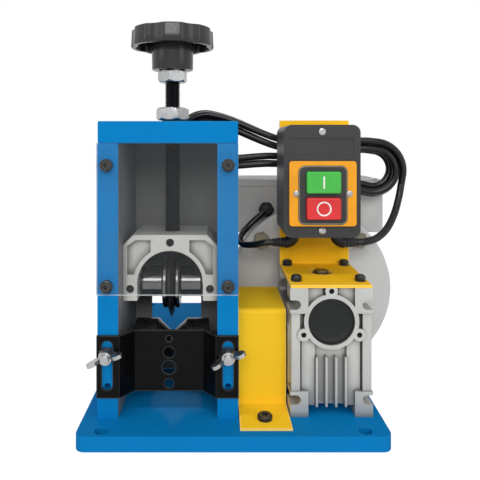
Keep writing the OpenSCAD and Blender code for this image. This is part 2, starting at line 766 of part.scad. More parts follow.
// Wire guide: a folded hat section with slotted flanges and a column of inlet holes
guide_holes = [[70, 6], [57, 10.5], [42.5, 13], [27, 9]];
module guide_plate() {
    edge = guide_slot_x + guide_flange_w / 2;
    fold = window_w / 2 - 1.5;
    slot_low = 7.5;
    slot_high = guide_h - 5;
    path = [[edge, -guide_t], [fold, -guide_t], [guide_web_w / 2, guide_recess],
        [-guide_web_w / 2, guide_recess], [-fold, -guide_t], [-edge, -guide_t]];
    color([0.09, 0.09, 0.1]) at_gate() translate([0, gate_fy, guide_z]) difference() {
        linear_extrude(guide_h) polygon(sheet(path, -guide_t));
        for (sx = [-1, 1]) translate([sx * guide_slot_x, -guide_t - 1, 0]) {
            slot_r = stud_d / 2 + 1;
            for (z = [slot_low + slot_r, slot_high - slot_r]) translate([0, 0, z]) along_y()
                cylinder(r = slot_r, h = guide_t + 2);
            translate([-slot_r, 0, slot_low + slot_r])
                cube([2 * slot_r, guide_t + 2, slot_high - slot_low - 2 * slot_r]);
        }
        for (hole = guide_holes) translate([0, guide_recess - guide_t - 2, hole[0] - guide_z]) along_y()
            cylinder(d = hole[1], h = guide_t + 4);
    }
}

stud_proud = 13;
stud_deep = 15;
module guide_studs() {
    color([0.7, 0.71, 0.73]) at_gate() for (sx = [-1, 1])
        translate([sx * guide_slot_x, gate_fy - guide_t - stud_proud, stud_z]) along_y()
            cylinder(d = stud_d, h = stud_proud + guide_t + stud_deep);
}

// Wing nut: a turned hub with two raised wings
module wing_nut(turn) {
    rotate(turn) difference() {
        union() {
            cylinder(d1 = stud_d + 8, d2 = stud_d + 4, h = 9);
            for (side = [0, 180]) rotate(side) translate([4, 1.6, 0]) rotate([90, 0, 0]) linear_extrude(3.2)
                union() {
                    polygon([[0, 1], [4, 1], [11.5, 8], [6, 16], [0, 8]]);
                    translate([8.2, 11.5]) circle(r = 4.8, $fn = 32);
                }
        }
        translate([0, 0, -1]) cylinder(d = stud_d + 2 * run_fit, h = 20);
    }
}

module place_wing_nut(side, turn) {
    color([0.78, 0.79, 0.8]) at_gate() translate([side * guide_slot_x, gate_fy - guide_t - clear, stud_z])
        rotate([90, 0, 0]) wing_nut(turn);
}

module left_wing_nut() { place_wing_nut(-1, 18); }
module right_wing_nut() { place_wing_nut(1, 24); }

// Gearbox casting: a finned block with slotted corner lugs, a worm boss with ears and a round neck
module corner_lugs() {
    for (sx = [-1, 1], sy = [-1, 1], z = [0, gear_h - lug_h])
        translate([sx * (gear_w - lug_w) / 2, sy * (gear_d - lug_d) / 2, z + lug_h / 2])
            cube([lug_w, lug_d, lug_h], center = true);
}

module lug_slots() {
    for (sx = [-1, 1], sy = [-1, 1], z = [lug_h - slot_w + 1, gear_h - lug_h + slot_w - 1])
        translate([sx * (gear_w / 2 - slot_in + slot_w / 2), sy * (gear_d - lug_d) / 2, z]) {
            rotate([90, 0, 0]) cylinder(d = slot_w, h = lug_d + 2, center = true);
            translate([sx * slot_in / 2, 0, 0]) cube([slot_in, lug_d + 2, slot_w], center = true);
        }
}

module ear_places() {
    for (a = [90, 205, 335]) translate([(boss_r + 3) * cos(a), 0, worm_z + (boss_r + 3) * sin(a)])
        rotate([90, 0, 0]) children();
}

module gearbox_housing() {
    face = 8;
    fin_t = 2;
    fin_pitch = 9.2;
    fin_top = worm_z - boss_r - 8;
    color([0.74, 0.74, 0.73]) translate([gear_x, axis_y, base_t]) difference() {
        union() {
            translate([-casting_w / 2, face - gear_d / 2, foot_arch])
                cube([casting_w, gear_d - 2 * face, gear_h - foot_arch]);
            corner_lugs();
            translate([0, -gear_d / 2, worm_z]) along_y() cylinder(r = boss_r, h = gear_d / 2);
            translate([0, -gear_d / 2 + 14, 0]) ear_places() cylinder(r = 6, h = 14);
            translate([0, gear_d / 2 - face - 1, worm_z]) along_y()
                cylinder(r = gear_h - worm_z, h = face + 1 + flange_gap);
            for (i = [0:fin_count - 1])
                translate([(i - (fin_count - 1) / 2) * fin_pitch - fin_t / 2, -gear_d / 2 + 1, foot_arch])
                    cube([fin_t, face, fin_top - foot_arch]);
        }
        lug_slots();
        translate([0, -gear_d / 2 + 10, 0]) ear_places() cylinder(d = 5, h = 12);
        translate([-gear_w, 0, feed_z]) along_x() cylinder(r = cavity_r, h = 2 * gear_w);
        translate([0, -gear_d / 2 - 1, worm_z]) along_y() {
            cylinder(d = worm_bearing_d + 2 * fit, h = gear_d + 2 + flange_gap);
            cylinder(r = cap_r + fit, h = cap_t + cap_sunk + 1);
        }
        translate([-gear_x, -axis_y, -base_t]) bracket_holes() translate([0, 0, -bracket_t - 13])
            cylinder(d = 6 + 2 * fit, h = 14);
        translate([-gear_w, -gear_d, gear_h]) cube([2 * gear_w, 2 * gear_d, gear_h]);
        for (side = [0, 180]) rotate(side) translate([casting_w / 2, 0, feed_z]) along_x()
            cylinder(r = side_cover_r + clear, h = gear_w);
        translate([0, 0, gear_h - 6]) cylinder(d = 12 + 2 * fit, h = 7);
    }
}

// Round covers that close the wheel's cavity and hold the output bearings
module gear_side_covers() {
    color([0.72, 0.72, 0.71]) for (side = [-1, 1])
        feed_axis(gear_x + side * gear_w / 2) mirror([0, 0, side > 0 ? 1 : 0]) difference() {
            rotate_extrude() polygon([[0, 0], [side_cover_r - 2, 0], [side_cover_r, 2],
                [side_cover_r, side_cover_t], [cavity_r - fit, side_cover_t],
                [cavity_r - fit, side_cover_t + 6], [0, side_cover_t + 6]]);
            translate([0, 0, 3]) cylinder(d = bearing_d + 2 * fit, h = side_cover_t + 6);
            translate([0, 0, -1]) cylinder(d = shaft_d + 4, h = 10);
            for (a = [45:90:315]) rotate(a) translate([side_cover_r - 6, 0, -1]) cylinder(d = 6, h = 4);
        }
}

module worm_cap() {
    color([0.09, 0.09, 0.1]) worm_axis(gear_fy + cap_sunk) cylinder(r = cap_r, h = cap_t);
}

module worm_bearings() {
    seats = [gear_fy + cap_sunk + cap_t + 1, gear_by - worm_bearing_w, flange_y + 1];
    color([0.7, 0.71, 0.73]) for (y = seats)
        worm_axis(y) bearing_ring(worm_bearing_d, worm_shaft_d + 2 * run_fit, worm_bearing_w);
}

module oil_plug() {
    color([0.62, 0.55, 0.3]) translate([gear_x, axis_y, base_t + gear_h]) {
        translate([0, 0, -5]) cylinder(d = 12, h = 5.5);
        hex(14, 5);
    }
}

// Worm: a stepped shaft with the threaded part in the middle and a socket for the motor shaft
worm_start = gear_fy + cap_sunk + cap_t + 1;
worm_end = gear_by - 1;
motor_nose_d = 10;
motor_nose = 22;
module worm() {
    color([0.6, 0.61, 0.63]) worm_axis(worm_start) difference() {
        union() {
            cylinder(d = worm_shaft_d, h = worm_end - worm_start);
            translate([0, 0, (worm_end - worm_start - worm_len) / 2]) cylinder(r = worm_core_r, h = worm_len);
        }
        translate([0, 0, worm_end - worm_start - motor_nose])
            cylinder(d = motor_nose_d + 2 * fit, h = motor_nose + 1);
    }
}

// Worm wheel with straight-flanked teeth on a hub that grips the output shaft
function tooth(i, pitch) =
    let (a = pitch * i, tip = wheel_r + wheel_module, low = wheel_r - 1.25 * wheel_module)
    [for (p = [[low, -0.32], [tip, -0.13], [tip, 0.13], [low, 0.32]])
        let (b = a + p[1] * pitch) p[0] * [cos(b), sin(b)]];
module worm_wheel() {
    pitch = 360 / wheel_teeth;
    color([0.7, 0.5, 0.2]) feed_axis(gear_x - wheel_face / 2) difference() {
        union() {
            linear_extrude(wheel_face) polygon([for (i = [0:wheel_teeth - 1]) each tooth(i + 0.5, pitch)]);
            translate([0, 0, -4]) cylinder(r = shaft_d / 2 + 6, h = wheel_face + 8);
        }
        translate([0, 0, -5]) cylinder(d = shaft_d + 2 * fit, h = wheel_face + 10);
    }
}

// Motor: round flange cut flat over the base, finned casing, rear shield, fan and cowl
module motor_flange() {
    color([0.8, 0.8, 0.8]) difference() {
        worm_axis(flange_y) difference() {
            rotate_extrude() polygon([[0, 0], [flange_r - 1.5, 0], [flange_r, 1.5], [flange_r, flange_t],
                [0, flange_t]]);
            translate([0, 0, -1]) cylinder(d = worm_bearing_d + 2 * fit, h = flange_t + 2);
            for (a = [45:90:315]) rotate(a) translate([flange_bolt_r, 0, -1])
                cylinder(d = 10 + 2 * fit, h = flange_t + 2);
        }
        translate([gear_x - flange_r, flange_y - 1, 0])
            cube([2 * flange_r, flange_t + 2, base_t + flange_clear]);
    }
}

module flange_bolts() {
    color([0.75, 0.76, 0.78]) worm_axis(flange_y) for (a = [45:90:315])
        rotate(a) translate([flange_bolt_r, 0, 0]) {
            translate([0, 0, -6.5]) hex(17, 6.5);
            translate([0, 0, -0.01]) cylinder(d = 10, h = flange_t + 10);
            translate([0, 0, flange_t]) hex(17, 8);
        }
}

module motor_casing() {
    core_r = motor_r - motor_fin;
    color([0.78, 0.78, 0.78]) worm_axis(motor_y) difference() {
        union() {
            cylinder(r = core_r, h = motor_len);
            for (i = [0:motor_fins - 1])
                rotate(360 / motor_fins * (i + 0.5)) translate([core_r - 1, -1.2, 4])
                    cube([motor_fin + 1, 2.4, motor_len - 8]);
        }
        translate([0, 0, -1]) cylinder(r = stator_r, h = motor_len + 2);
    }
}

module rear_shield() {
    color([0.76, 0.76, 0.76]) worm_axis(motor_back)
        ring(motor_r - motor_fin, worm_shaft_d / 2 + run_fit, shield_t);
}

module motor_rotor() {
    start = worm_end - motor_nose + 0.2;
    color([0.55, 0.56, 0.58]) worm_axis(start) {
        cylinder(d = motor_nose_d, h = motor_nose + 2);
        translate([0, 0, motor_nose + 1])
            cylinder(d = worm_shaft_d, h = motor_back + shield_t + 30 - start - motor_nose - 1);
        translate([0, 0, motor_y + 18 - start]) cylinder(r = rotor_r, h = motor_len - 36);
    }
}

module motor_fan() {
    blades = 8;
    color([0.2, 0.2, 0.22]) worm_axis(motor_back + shield_t + 6) {
        ring(14, worm_shaft_d / 2 + fit, 24);
        ring(fan_r, 13, 3);
        for (i = [0:blades - 1])
            rotate(360 / blades * i) translate([13, -1.2, 2]) cube([fan_r - 15, 2.4, 20]);
    }
}

// Cowl: a turned shell round the fan, with rows of slots in its back
module fan_cowl() {
    slots = 12;
    seat_r = motor_r - motor_fin + fit;
    color([0.25, 0.25, 0.27]) worm_axis(motor_back) difference() {
        rotate_extrude() polygon([[seat_r, 0], [cowl_r, 0], [cowl_r, cowl_len - 10], [cowl_r - 10, cowl_len],
            [0, cowl_len], [0, cowl_len - cowl_wall], [cowl_r - 10 - cowl_wall, cowl_len - cowl_wall],
            [cowl_r - 2 * cowl_wall, cowl_len - 10 - cowl_wall], [cowl_r - 2 * cowl_wall, shield_t],
            [seat_r, shield_t]]);
        for (i = [0:slots - 1], r = [18, 36])
            rotate(360 / slots * i) translate([r, -2, cowl_len - cowl_wall - 2]) cube([14, 4, cowl_wall + 4]);
    }
}

// Terminal box: a wide cast box saddled on the motor's back
module terminal_box() {
    wall = 3;
    h = tbox_top - tlid_t - tbox_low;
    color([0.72, 0.72, 0.71]) translate([gear_x, tbox_y, base_t + tbox_low]) difference() {
        translate([0, tbox_d / 2, 0]) linear_extrude(h) rounded_rect(tbox_w, tbox_d, 8);
        translate([0, tbox_d / 2, motor_r + worm_z - tbox_low + wall]) linear_extrude(h)
            rounded_rect(tbox_w - 2 * wall, tbox_d - 2 * wall, 5);
        translate([0, -1, worm_z - tbox_low]) along_y() cylinder(r = motor_r + clear, h = tbox_d + 2);
        translate([0, 0, h]) tlid_screw_places() translate([0, 0, -8]) cylinder(d = 4 + 2 * fit, h = 9);
    }
}

module terminal_lid() {
    color([0.8, 0.8, 0.8]) translate([gear_x, tbox_y, base_t + tbox_top - tlid_t]) difference() {
        translate([0, tbox_d / 2, 0]) linear_extrude(tlid_t) rounded_rect(tbox_w + 3, tbox_d + 3, 9);
        tlid_screw_places() translate([0, 0, -1]) cylinder(d = 4 + 2 * fit, h = tlid_t + 2);
    }
}

module tlid_screw_places() {
    for (sx = [-1, 1], y = [tlid_screw_in, tbox_d - tlid_screw_in])
        translate([sx * (tbox_w / 2 - tlid_screw_in), y, 0]) children();
}

// Pan-head screws of the switch lid, the faceplate, the terminal lid and the rear panel
module pan_screw(d, len) {
    head = 2 * d;
    difference() {
        union() {
            translate([0, 0, -len]) cylinder(d = d, h = len + 0.01);
            rotate_extrude() polygon([[0, 0], [head / 2, 0], [head / 2, d * 0.3], [head * 0.3, d * 0.6],
                [0, d * 0.6]]);
        }
        for (a = [0, 90]) rotate(a) translate([-head / 4, -d * 0.1, d * 0.35]) cube([head / 2, d * 0.2, d]);
    }
}

lid_screw_dz = switch_h / 2 - 7;
ear_screw_x = 26;
tlid_screw_in = 9;
panel_screw_in = 9;
module pan_screws() {
    color([0.7, 0.71, 0.73]) {
        for (sz = [-1, 1])
            at_switch(lid_fy, sz * lid_screw_dz) rotate(30) pan_screw(3.5, slid_d - box_wall - 2);
        for (sx = [-1, 1])
            translate([sx * ear_screw_x, 0, 0]) at_switch(face_fy, face_z - switch_z) pan_screw(3, 6);
        translate([gear_x, tbox_y, base_t + tbox_top]) tlid_screw_places() pan_screw(4, tlid_t + 6);
        at_gate() panel_screw_places() pan_screw(4, panel_t + 8);
    }
}

module panel_screw_places() {
    for (sx = [-1, 1], z = [panel_screw_in + 1, gate_h - top_t - panel_screw_in])
        translate([sx * post_mid, gate_by + panel_t, z]) rotate([-90, 0, 0]) children();
}

// Folded bracket: a foot on the gearbox and an upright behind the switch box
tie_x = 70;
tie_z = 244;
tie_w = 5;
tie_t = 1.4;
module switch_bracket() {
    path = [[gear_fy, gear_h], [plate_y, gear_h], [plate_y, gear_h + bracket_h]];
    color([0.94, 0.69, 0.18]) difference() {
        translate([gear_x - bracket_w / 2, 0, base_t]) along_x() linear_extrude(bracket_w)
            polygon(sheet(bent(path, 5), bracket_t));
        bracket_holes() translate([0, 0, -bracket_t - 1]) cylinder(d = 6 + 2 * fit, h = bracket_t + 2);
        translate([gear_x, axis_y, base_t + gear_h - 1]) cylinder(d = 23, h = bracket_t + 2);
        for (sz = [-1, 1]) translate([tie_x, plate_y, base_t + tie_z + sz * (tie_half + tie_t / 2)])
            cube([tie_w + 1, 4 * bracket_t, tie_t + 1], center = true);
    }
}

module at_switch(y, dz) { translate([switch_x, y, base_t + switch_z + dz]) rotate([90, 0, 0]) children(); }

switch_x = gear_x - 4;
boot_x = 22;
boot_bend = 9;
boot_r = 6;
boot_len = 14;
boot_collar = 3;
boot_y = box_by - 20;
boot_z = switch_z - switch_h / 2 - boot_collar - boot_bend;
boot_reach = boot_x + boot_bend + boot_len;
module switch_box() {
    color([0.2, 0.2, 0.22]) difference() {
        union() {
            at_switch(box_by, 0) linear_extrude(switch_d) rounded_rect(switch_w, switch_h, box_corner_r);
            for (sx = [-1, 1], sz = [-1, 1]) translate([sx * (switch_w / 2 - 9), 0, 0])
                at_switch(plate_fy, sz * (switch_h / 2 - 9)) cylinder(d = 14, h = foot_pad + 1);
        }
        at_switch(box_by - box_wall, 0) linear_extrude(switch_d)
            rounded_rect(switch_w - 2 * box_wall, switch_h - 2 * box_wall, box_corner_r - box_wall);
    }
}

module switch_lid() {
    label_w = 63;
    label_h = 17.5;
    label_z = 34;
    color([0.22, 0.21, 0.23]) difference() {
        at_switch(lid_by, 0) linear_extrude(slid_d) rounded_rect(switch_w, switch_h, box_corner_r);
        at_switch(lid_by + 1, 0) linear_extrude(slid_d - box_wall + 1)
            rounded_rect(switch_w - 2 * box_wall, switch_h - 2 * box_wall, box_corner_r - box_wall);
        at_switch(lid_by, block_z - switch_z) linear_extrude(slid_d + 1)
            rounded_rect(block_w + 2 * clear, block_h + 2 * clear, 2);
        at_switch(lid_fy + 0.8, label_z) linear_extrude(2) rounded_rect(label_w, label_h, 2);
        for (sz = [-1, 1]) at_switch(lid_by, sz * lid_screw_dz) cylinder(d = 3.5 + 2 * fit, h = slid_d + 1);
        for (sx = [-1, 1]) translate([sx * ear_screw_x, 0, 0]) at_switch(lid_by, face_z - switch_z)
            cylinder(d = 3 + 2 * fit, h = slid_d + 1);
    }
}

module switch_faceplate() {
    color([0.93, 0.62, 0.1]) difference() {
        at_switch(lid_fy, face_z - switch_z) linear_extrude(face_t) rounded_rect(face_w, face_h, 3);
        at_switch(lid_fy + 1, block_z - switch_z) linear_extrude(face_t + 2)
            rounded_rect(block_w + 2 * clear, block_h + 2 * clear, 2);
        for (sx = [-1, 1]) translate([sx * ear_screw_x, 0, 0]) at_switch(lid_fy + 1, face_z - switch_z)
            cylinder(d = 3 + 2 * fit, h = face_t + 2);
    }
}

// Contact block whose bezel comes through the faceplate, with a well for each button
module contact_block() {
    well = button_d - button_proud + button_travel + 1;
    color([0.3, 0.3, 0.32]) difference() {
        at_switch(face_fy - block_proud + block_d, block_z - switch_z) linear_extrude(block_d)
            rounded_rect(block_w, block_h, 2);
        for (s = [-1, 1]) at_switch(face_fy - block_proud + well, block_z - switch_z + s * button_pitch / 2)
            linear_extrude(well + 1) rounded_rect(button_w + 2 * clear, button_h + 2 * clear, 2);
    }
}

module push_button(s) {
    at_switch(face_fy - block_proud - button_proud + button_d, block_z - switch_z + s * button_pitch / 2) {
        linear_extrude(button_d - 1) rounded_rect(button_w, button_h, 2);
        translate([0, 0, button_d - 1.01]) linear_extrude(1.01) rounded_rect(button_w - 2, button_h - 2, 1.5);
    }
}

module start_button() { color([0.1, 0.62, 0.3]) push_button(1); }
module stop_button() { color([0.84, 0.12, 0.12]) push_button(-1); }

// Cord entries: two right-angle boots under the switch box and a gland on the terminal box
gland_x = 45;
gland_z = 178;
gland_len = 12;
module boot(side, tip_r) {
    translate([switch_x + side * boot_x, boot_y, base_t + boot_z]) mirror([side > 0 ? 0 : 1, 0, 0]) {
        translate([0, 0, boot_bend]) cylinder(r = boot_r + 2, h = boot_collar);
        translate([boot_bend, 0, boot_bend]) rotate([90, 0, 0]) rotate(180) rotate_extrude(angle = 90)
            translate([boot_bend, 0]) circle(boot_r, $fn = 32);
        translate([boot_bend - 0.01, 0, 0]) along_x() cylinder(r1 = boot_r, r2 = tip_r, h = boot_len + 0.01);
    }
}

module cable_glands() {
    color([0.1, 0.1, 0.11]) {
        boot(1, cord_d / 2 + 0.8);
        boot(-1, lead_d / 2 + 0.8);
        translate([gland_x, tbox_y - gland_len, base_t + gland_z]) along_y() {
            translate([0, 0, gland_len - 5]) hex(17, 5);
            cylinder(d1 = lead_d + 3, d2 = 13, h = gland_len - 5 + 0.01);
        }
    }
}

// Motor lead: out of the left boot, round the back of the post and up to the terminal box
lead_start = [switch_x - boot_reach, boot_y, boot_z];
lead_end = [gland_x, tbox_y - gland_len, gland_z];
lead_points = [[36, -93, 152], [25, -89, 149], [16, -79, 147], [12, -65, 147], [13, -52, 152],
    [21, -45, 161], [32, -42, 171], [41, -39, 177]];
module motor_lead() {
    bends = smooth(concat([lead_start - [2, 0, 0]], lead_points, [lead_end - [0, 4, 0]]), 3);
    route = concat([lead_start], bends, [lead_end]);
    color([0.07, 0.07, 0.08]) on_base() tube(route, lead_d / 2, 10, [0, 0, 1]);
}

// Hank: loops with round folds, drawn in at the waist, that spiral in on one layer and out on the next
hank_mid = [tie_x, -45, tie_z];
hank_tilt = -9.65;
hank_arc = 0.14;
hank_c = hank_half - hank_fold_r;
function hank_inset(u) = hank_step * (hank_turns / 2 - abs(u - hank_turns / 2));
function hank_layer(u) =
    let (f = min(1, max(0, 2 * (u - hank_turns / 2) + 0.5))) hank_step * f * f * (3 - 2 * f);
function hank_pull(s) = (hank_fold_r - hank_waist) * (1 + cos(180 * s / hank_c)) / 2;
function hank_flat(q, r) =
    q < hank_arc ? let (a = 90 * q / hank_arc) [hank_c + r * cos(a), r * sin(a)] :
    q < 0.5 - hank_arc ?
        let (s = hank_c * (1 - 2 * (q - hank_arc) / (0.5 - 2 * hank_arc))) [s, r - hank_pull(s)] :
    q < 0.5 + hank_arc ?
        let (a = 90 + 90 * (q - 0.5 + hank_arc) / hank_arc) [r * cos(a) - hank_c, r * sin(a)] :
    q < 1 - hank_arc ?
        let (s = hank_c * (2 * (q - 0.5 - hank_arc) / (0.5 - 2 * hank_arc) - 1)) [s, hank_pull(s) - r] :
    let (a = 270 + 90 * (q - 1 + hank_arc) / hank_arc) [hank_c + r * cos(a), r * sin(a)];
function hank_at(u) =
    let (f = hank_flat(u - floor(u), hank_fold_r - hank_inset(u)), c = cos(hank_tilt), s = sin(hank_tilt))
    hank_mid + [f[0] * c - f[1] * s, hank_layer(u), f[0] * s + f[1] * c];
hank_up = [-sin(hank_tilt), 0, cos(hank_tilt)];
hank_rings = 28;
hank_first = hank_at(0) - cord_d * hank_up;
hank_last = hank_at(hank_turns) - cord_d * hank_up;
hank_loops = [for (i = [0:hank_rings * hank_turns]) hank_at(i / hank_rings)];
hank_path = concat([hank_first], hank_loops, [hank_last]);
module cord_hank() { color([0.06, 0.06, 0.07]) on_base() tube(hank_path, cord_d / 2, 6); }

// Least gap between points of the hank that are more than half a loop apart
hank_gap = min([for (i = [0:len(hank_path) - 1]) for (j = [i + hank_rings / 2:1:len(hank_path) - 1])
    norm(hank_path[i] - hank_path[j]) - cord_d]);
echo(hank_gap = hank_gap);

tail_start = [switch_x + boot_reach, boot_y, boot_z];
tail_points = [[144, -93, 153], [157, -89, 156], [171, -79, 164], [184, -65, 178], [194, -52, 196]];
module cord_tail() {
    bends = smooth(concat([tail_start + [2, 0, 0]], tail_points, [hank_first - 4 * hank_up]), 3);
    color([0.06, 0.06, 0.07]) on_base() tube(concat([tail_start], bends, [hank_first]), cord_d / 2, 10);
}

tie_half = hank_waist + cord_d / 2 + 1.6;
module hank_tie() {
    back = hank_mid[1] + hank_step + cord_d / 2 + 0.5;
    front = plate_fy - 0.4;
    depth = back - front;
    color([0.08, 0.08, 0.09]) translate([tie_x - tie_w / 2, (back + front) / 2, base_t + tie_z]) along_x()
        linear_extrude(tie_w) difference() {
            rounded_rect(depth + 2 * tie_t, 2 * (tie_half + tie_t), 3);
            rounded_rect(depth, 2 * tie_half, 2);
        }
}

// Two-pin plug at the end of the hank
module mains_plug() {
    relief = 26;
    body = 36;
    pin = 19;
    color([0.08, 0.08, 0.09]) on_base() translate(hank_last) rotate([0, 180 - hank_tilt, 0]) {
        cylinder(d1 = cord_d + 1, d2 = 14, h = relief + 0.01);
        translate([0, 0, relief]) rotate_extrude() polygon([[0, 0], [8, 0], [13, 8], [14, body - 6],
            [14, body - 1], [13, body], [0, body]]);
        for (sx = [-1, 1]) translate([sx * 7, 0, relief + body - 0.01]) cylinder(d = 4.8, h = pin);
    }
}

base_plate();
left_post();
right_post();
top_plate();
rear_panel();
front_guard();
cap_screws();
pan_screws();
screw_spacer();
lock_nut();
bearing_yoke();
yoke_set_screws();
cutter_axle();
cutter_collars();
cutter_hub();
cutter_blade();
adjusting_screw();
jam_nut();
hand_knob();
feed_roller();
feed_spacers();
feed_shaft();
shaft_bearings();
coupling_hubs();
coupling_spider();
output_shaft();
worm_wheel();
coupling_cover();
guide_plate();
guide_studs();
left_wing_nut();
right_wing_nut();
gearbox_housing();
gear_side_covers();
worm_cap();
worm_bearings();
oil_plug();
worm();
motor_rotor();
motor_flange();
flange_bolts();
motor_casing();
rear_shield();
motor_fan();
fan_cowl();
terminal_box();
terminal_lid();
switch_bracket();
switch_box();
switch_lid();
switch_faceplate();
contact_block();
start_button();
stop_button();
cable_glands();
motor_lead();
cord_tail();
cord_hank();
hank_tie();
mains_plug();
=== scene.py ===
"""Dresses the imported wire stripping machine: finishes, fine forms, cords, light and camera."""

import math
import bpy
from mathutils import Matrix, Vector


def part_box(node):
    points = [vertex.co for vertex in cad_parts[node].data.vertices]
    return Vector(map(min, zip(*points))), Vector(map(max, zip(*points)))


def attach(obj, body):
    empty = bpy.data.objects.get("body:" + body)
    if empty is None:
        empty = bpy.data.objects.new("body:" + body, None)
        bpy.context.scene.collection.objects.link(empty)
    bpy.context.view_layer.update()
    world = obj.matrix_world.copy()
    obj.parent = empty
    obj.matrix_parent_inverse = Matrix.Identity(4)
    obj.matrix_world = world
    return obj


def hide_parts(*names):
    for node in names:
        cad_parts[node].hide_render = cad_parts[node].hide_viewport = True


bl_info = {
    "name": "Wire Stripping Machine",
    "version": (1, 0, 0),
    "blender": (4, 5, 0),
    "location": "View3D > Sidebar > Machine",
    "description": "Dresses the bench machine with finishes, fine forms, cords, light and a camera",
    "category": "Object",
}

import bmesh
import bpy
import numpy as np
from bpy.props import FloatProperty, FloatVectorProperty, IntProperty, PointerProperty
from bpy.types import Operator, Panel, PropertyGroup

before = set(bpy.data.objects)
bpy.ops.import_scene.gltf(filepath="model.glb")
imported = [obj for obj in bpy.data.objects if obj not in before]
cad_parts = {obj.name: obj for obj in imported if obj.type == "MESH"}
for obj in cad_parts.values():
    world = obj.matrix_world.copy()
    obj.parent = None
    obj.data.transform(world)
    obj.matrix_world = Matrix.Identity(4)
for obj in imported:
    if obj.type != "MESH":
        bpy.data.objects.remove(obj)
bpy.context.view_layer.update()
MM = 0.001
TURN = 2 * math.pi


def span(node):
    """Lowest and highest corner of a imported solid, in millimetres."""
    low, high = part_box(node)
    return np.array(low) / MM, np.array(high) / MM


def middle(node):
    """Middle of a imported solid's box, in millimetres."""
    low, high = span(node)
    return (low + high) / 2


def facing(node, depth):
    """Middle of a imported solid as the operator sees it, at a depth of its own."""
    x, _, z = middle(node)
    return x, depth, z


BASE_TOP = span("base_plate")[1][2]
CUTTER_AXIS = middle("cutter_blade")
FEED_AXIS = middle("feed_roller")
SCREW_AXIS = middle("adjusting_screw")
WORM_AXIS = middle("worm_cap")


def paint(label, note, value):
    """A colour that a user would change."""
    return FloatVectorProperty(name=label, description=note, subtype="COLOR", size=3, min=0, max=1,
                               default=value)


def size(label, note, value, low, high):
    """A length in metres that a user would change."""
    return FloatProperty(name=label, description=note, subtype="DISTANCE", unit="LENGTH", min=low, max=high,
                         default=value)


class MachineColours(PropertyGroup):
    """Colours of the machine's finishes."""

    blue: paint("Frame blue", "Enamel on the base plate and the gate", (0.003, 0.185, 0.470))
    yellow: paint("Cover yellow", "Enamel on the coupling cover", (0.97, 0.59, 0.024))
    amber: paint("Bracket amber", "Enamel on the switch bracket", (1.0, 0.55, 0.018))
    casting: paint("Casting grey", "Gearbox and side covers", (0.47, 0.475, 0.455))
    yoke: paint("Yoke grey", "Cutter head casting", (0.54, 0.54, 0.505))
    motor: paint("Motor grey", "Motor casing, flange and terminal box", (0.56, 0.56, 0.555))
    panel: paint("Panel grey", "Sheet panel behind the cutter", (0.20, 0.202, 0.196))
    plastic: paint("Switch grey", "Switch box and lid", (0.034, 0.033, 0.035))
    face: paint("Face amber", "Faceplate of the switch", (0.80, 0.33, 0.016))
    start: paint("Start green", "Start button", (0.055, 0.42, 0.060))
    stop: paint("Stop red", "Stop button", (0.64, 0.030, 0.032))
    black: paint("Moulded black", "Mains plug", (0.012, 0.012, 0.013))


class MachineSizes(PropertyGroup):
    """Sizes of the fine forms and the camera."""

    thread_pitch: size("Thread pitch", "Pitch of the pressure screw", 0.002, 0.0015, 0.003)
    cord_diameter: size("Cord diameter", "Mains cord", 0.008, 0.006, 0.008)
    lead_diameter: size("Lead diameter", "Motor lead", 0.007, 0.005, 0.007)
    knob_lobes: IntProperty(name="Knob lobes", description="Lobes round the hand knob", min=5, max=10,
                            default=7)
    camera_lens: FloatProperty(name="Lens", description="Focal length of the camera in millimetres", min=20,
                               max=90, default=38.6)


def chosen_sizes():
    """The sizes set in the scene."""
    return bpy.context.scene.machine_sizes


# Surfaces: each is a grid of points in millimetres, skinned with quads


def circle(steps):
    """Angles of so many equal steps round a full turn."""
    return np.linspace(0, TURN, steps, endpoint=False)


def round_points(radius, angle, level):
    """Points at a radius and an angle round +Z, on their levels."""
    return np.stack([radius * np.cos(angle), radius * np.sin(angle), level + 0 * angle], -1)


def link(name, data):
    """A new object in the scene."""
    made = bpy.data.objects.new(name, data)
    bpy.context.scene.collection.objects.link(made)
    return made


def mesh_points(mesh):
    """A mesh's points, in metres."""
    points = np.empty(len(mesh.vertices) * 3, np.float32)
    mesh.vertices.foreach_get("co", points)
    return points.reshape(-1, 3)


def skin(grid, wrap_rows=False, wrap_columns=True):
    """Quads between neighbouring points of a grid, closed round where asked."""
    rows, columns = grid.shape[:2]
    r = np.arange(rows if wrap_rows else rows - 1)[:, None]
    c = np.arange(columns if wrap_columns else columns - 1)[None, :]
    below, beside = (r + 1) % rows, (c + 1) % columns
    corners = (r * columns + c, r * columns + beside, below * columns + beside, below * columns + c)
    return np.stack(corners, -1).reshape(-1, 4).tolist()


def crisp(mesh, flat_angle):
    """Shades a mesh smooth, apart from edges sharper than flat_angle."""
    mesh.shade_smooth()
    mesh.set_sharp_from_angle(angle=math.radians(flat_angle))


def smooth_faces(mesh, flat_angle):
    """Merges doubles, turns the faces outwards and keeps edges sharper than flat_angle crisp."""
    work = bmesh.new()
    work.from_mesh(mesh)
    bmesh.ops.remove_doubles(work, verts=work.verts, dist=1e-6)
    bmesh.ops.recalc_face_normals(work, faces=work.faces)
    work.to_mesh(mesh)
    work.free()
    crisp(mesh, flat_angle)


def new_piece(name, points, faces, flat_angle=35):
    """An object at the origin whose mesh holds these points, given in millimetres."""
    mesh = bpy.data.meshes.new(name)
    mesh.from_pydata((np.asarray(points, float) * MM).tolist(), [], faces)
    smooth_faces(mesh, flat_angle)
    return link(name, mesh)


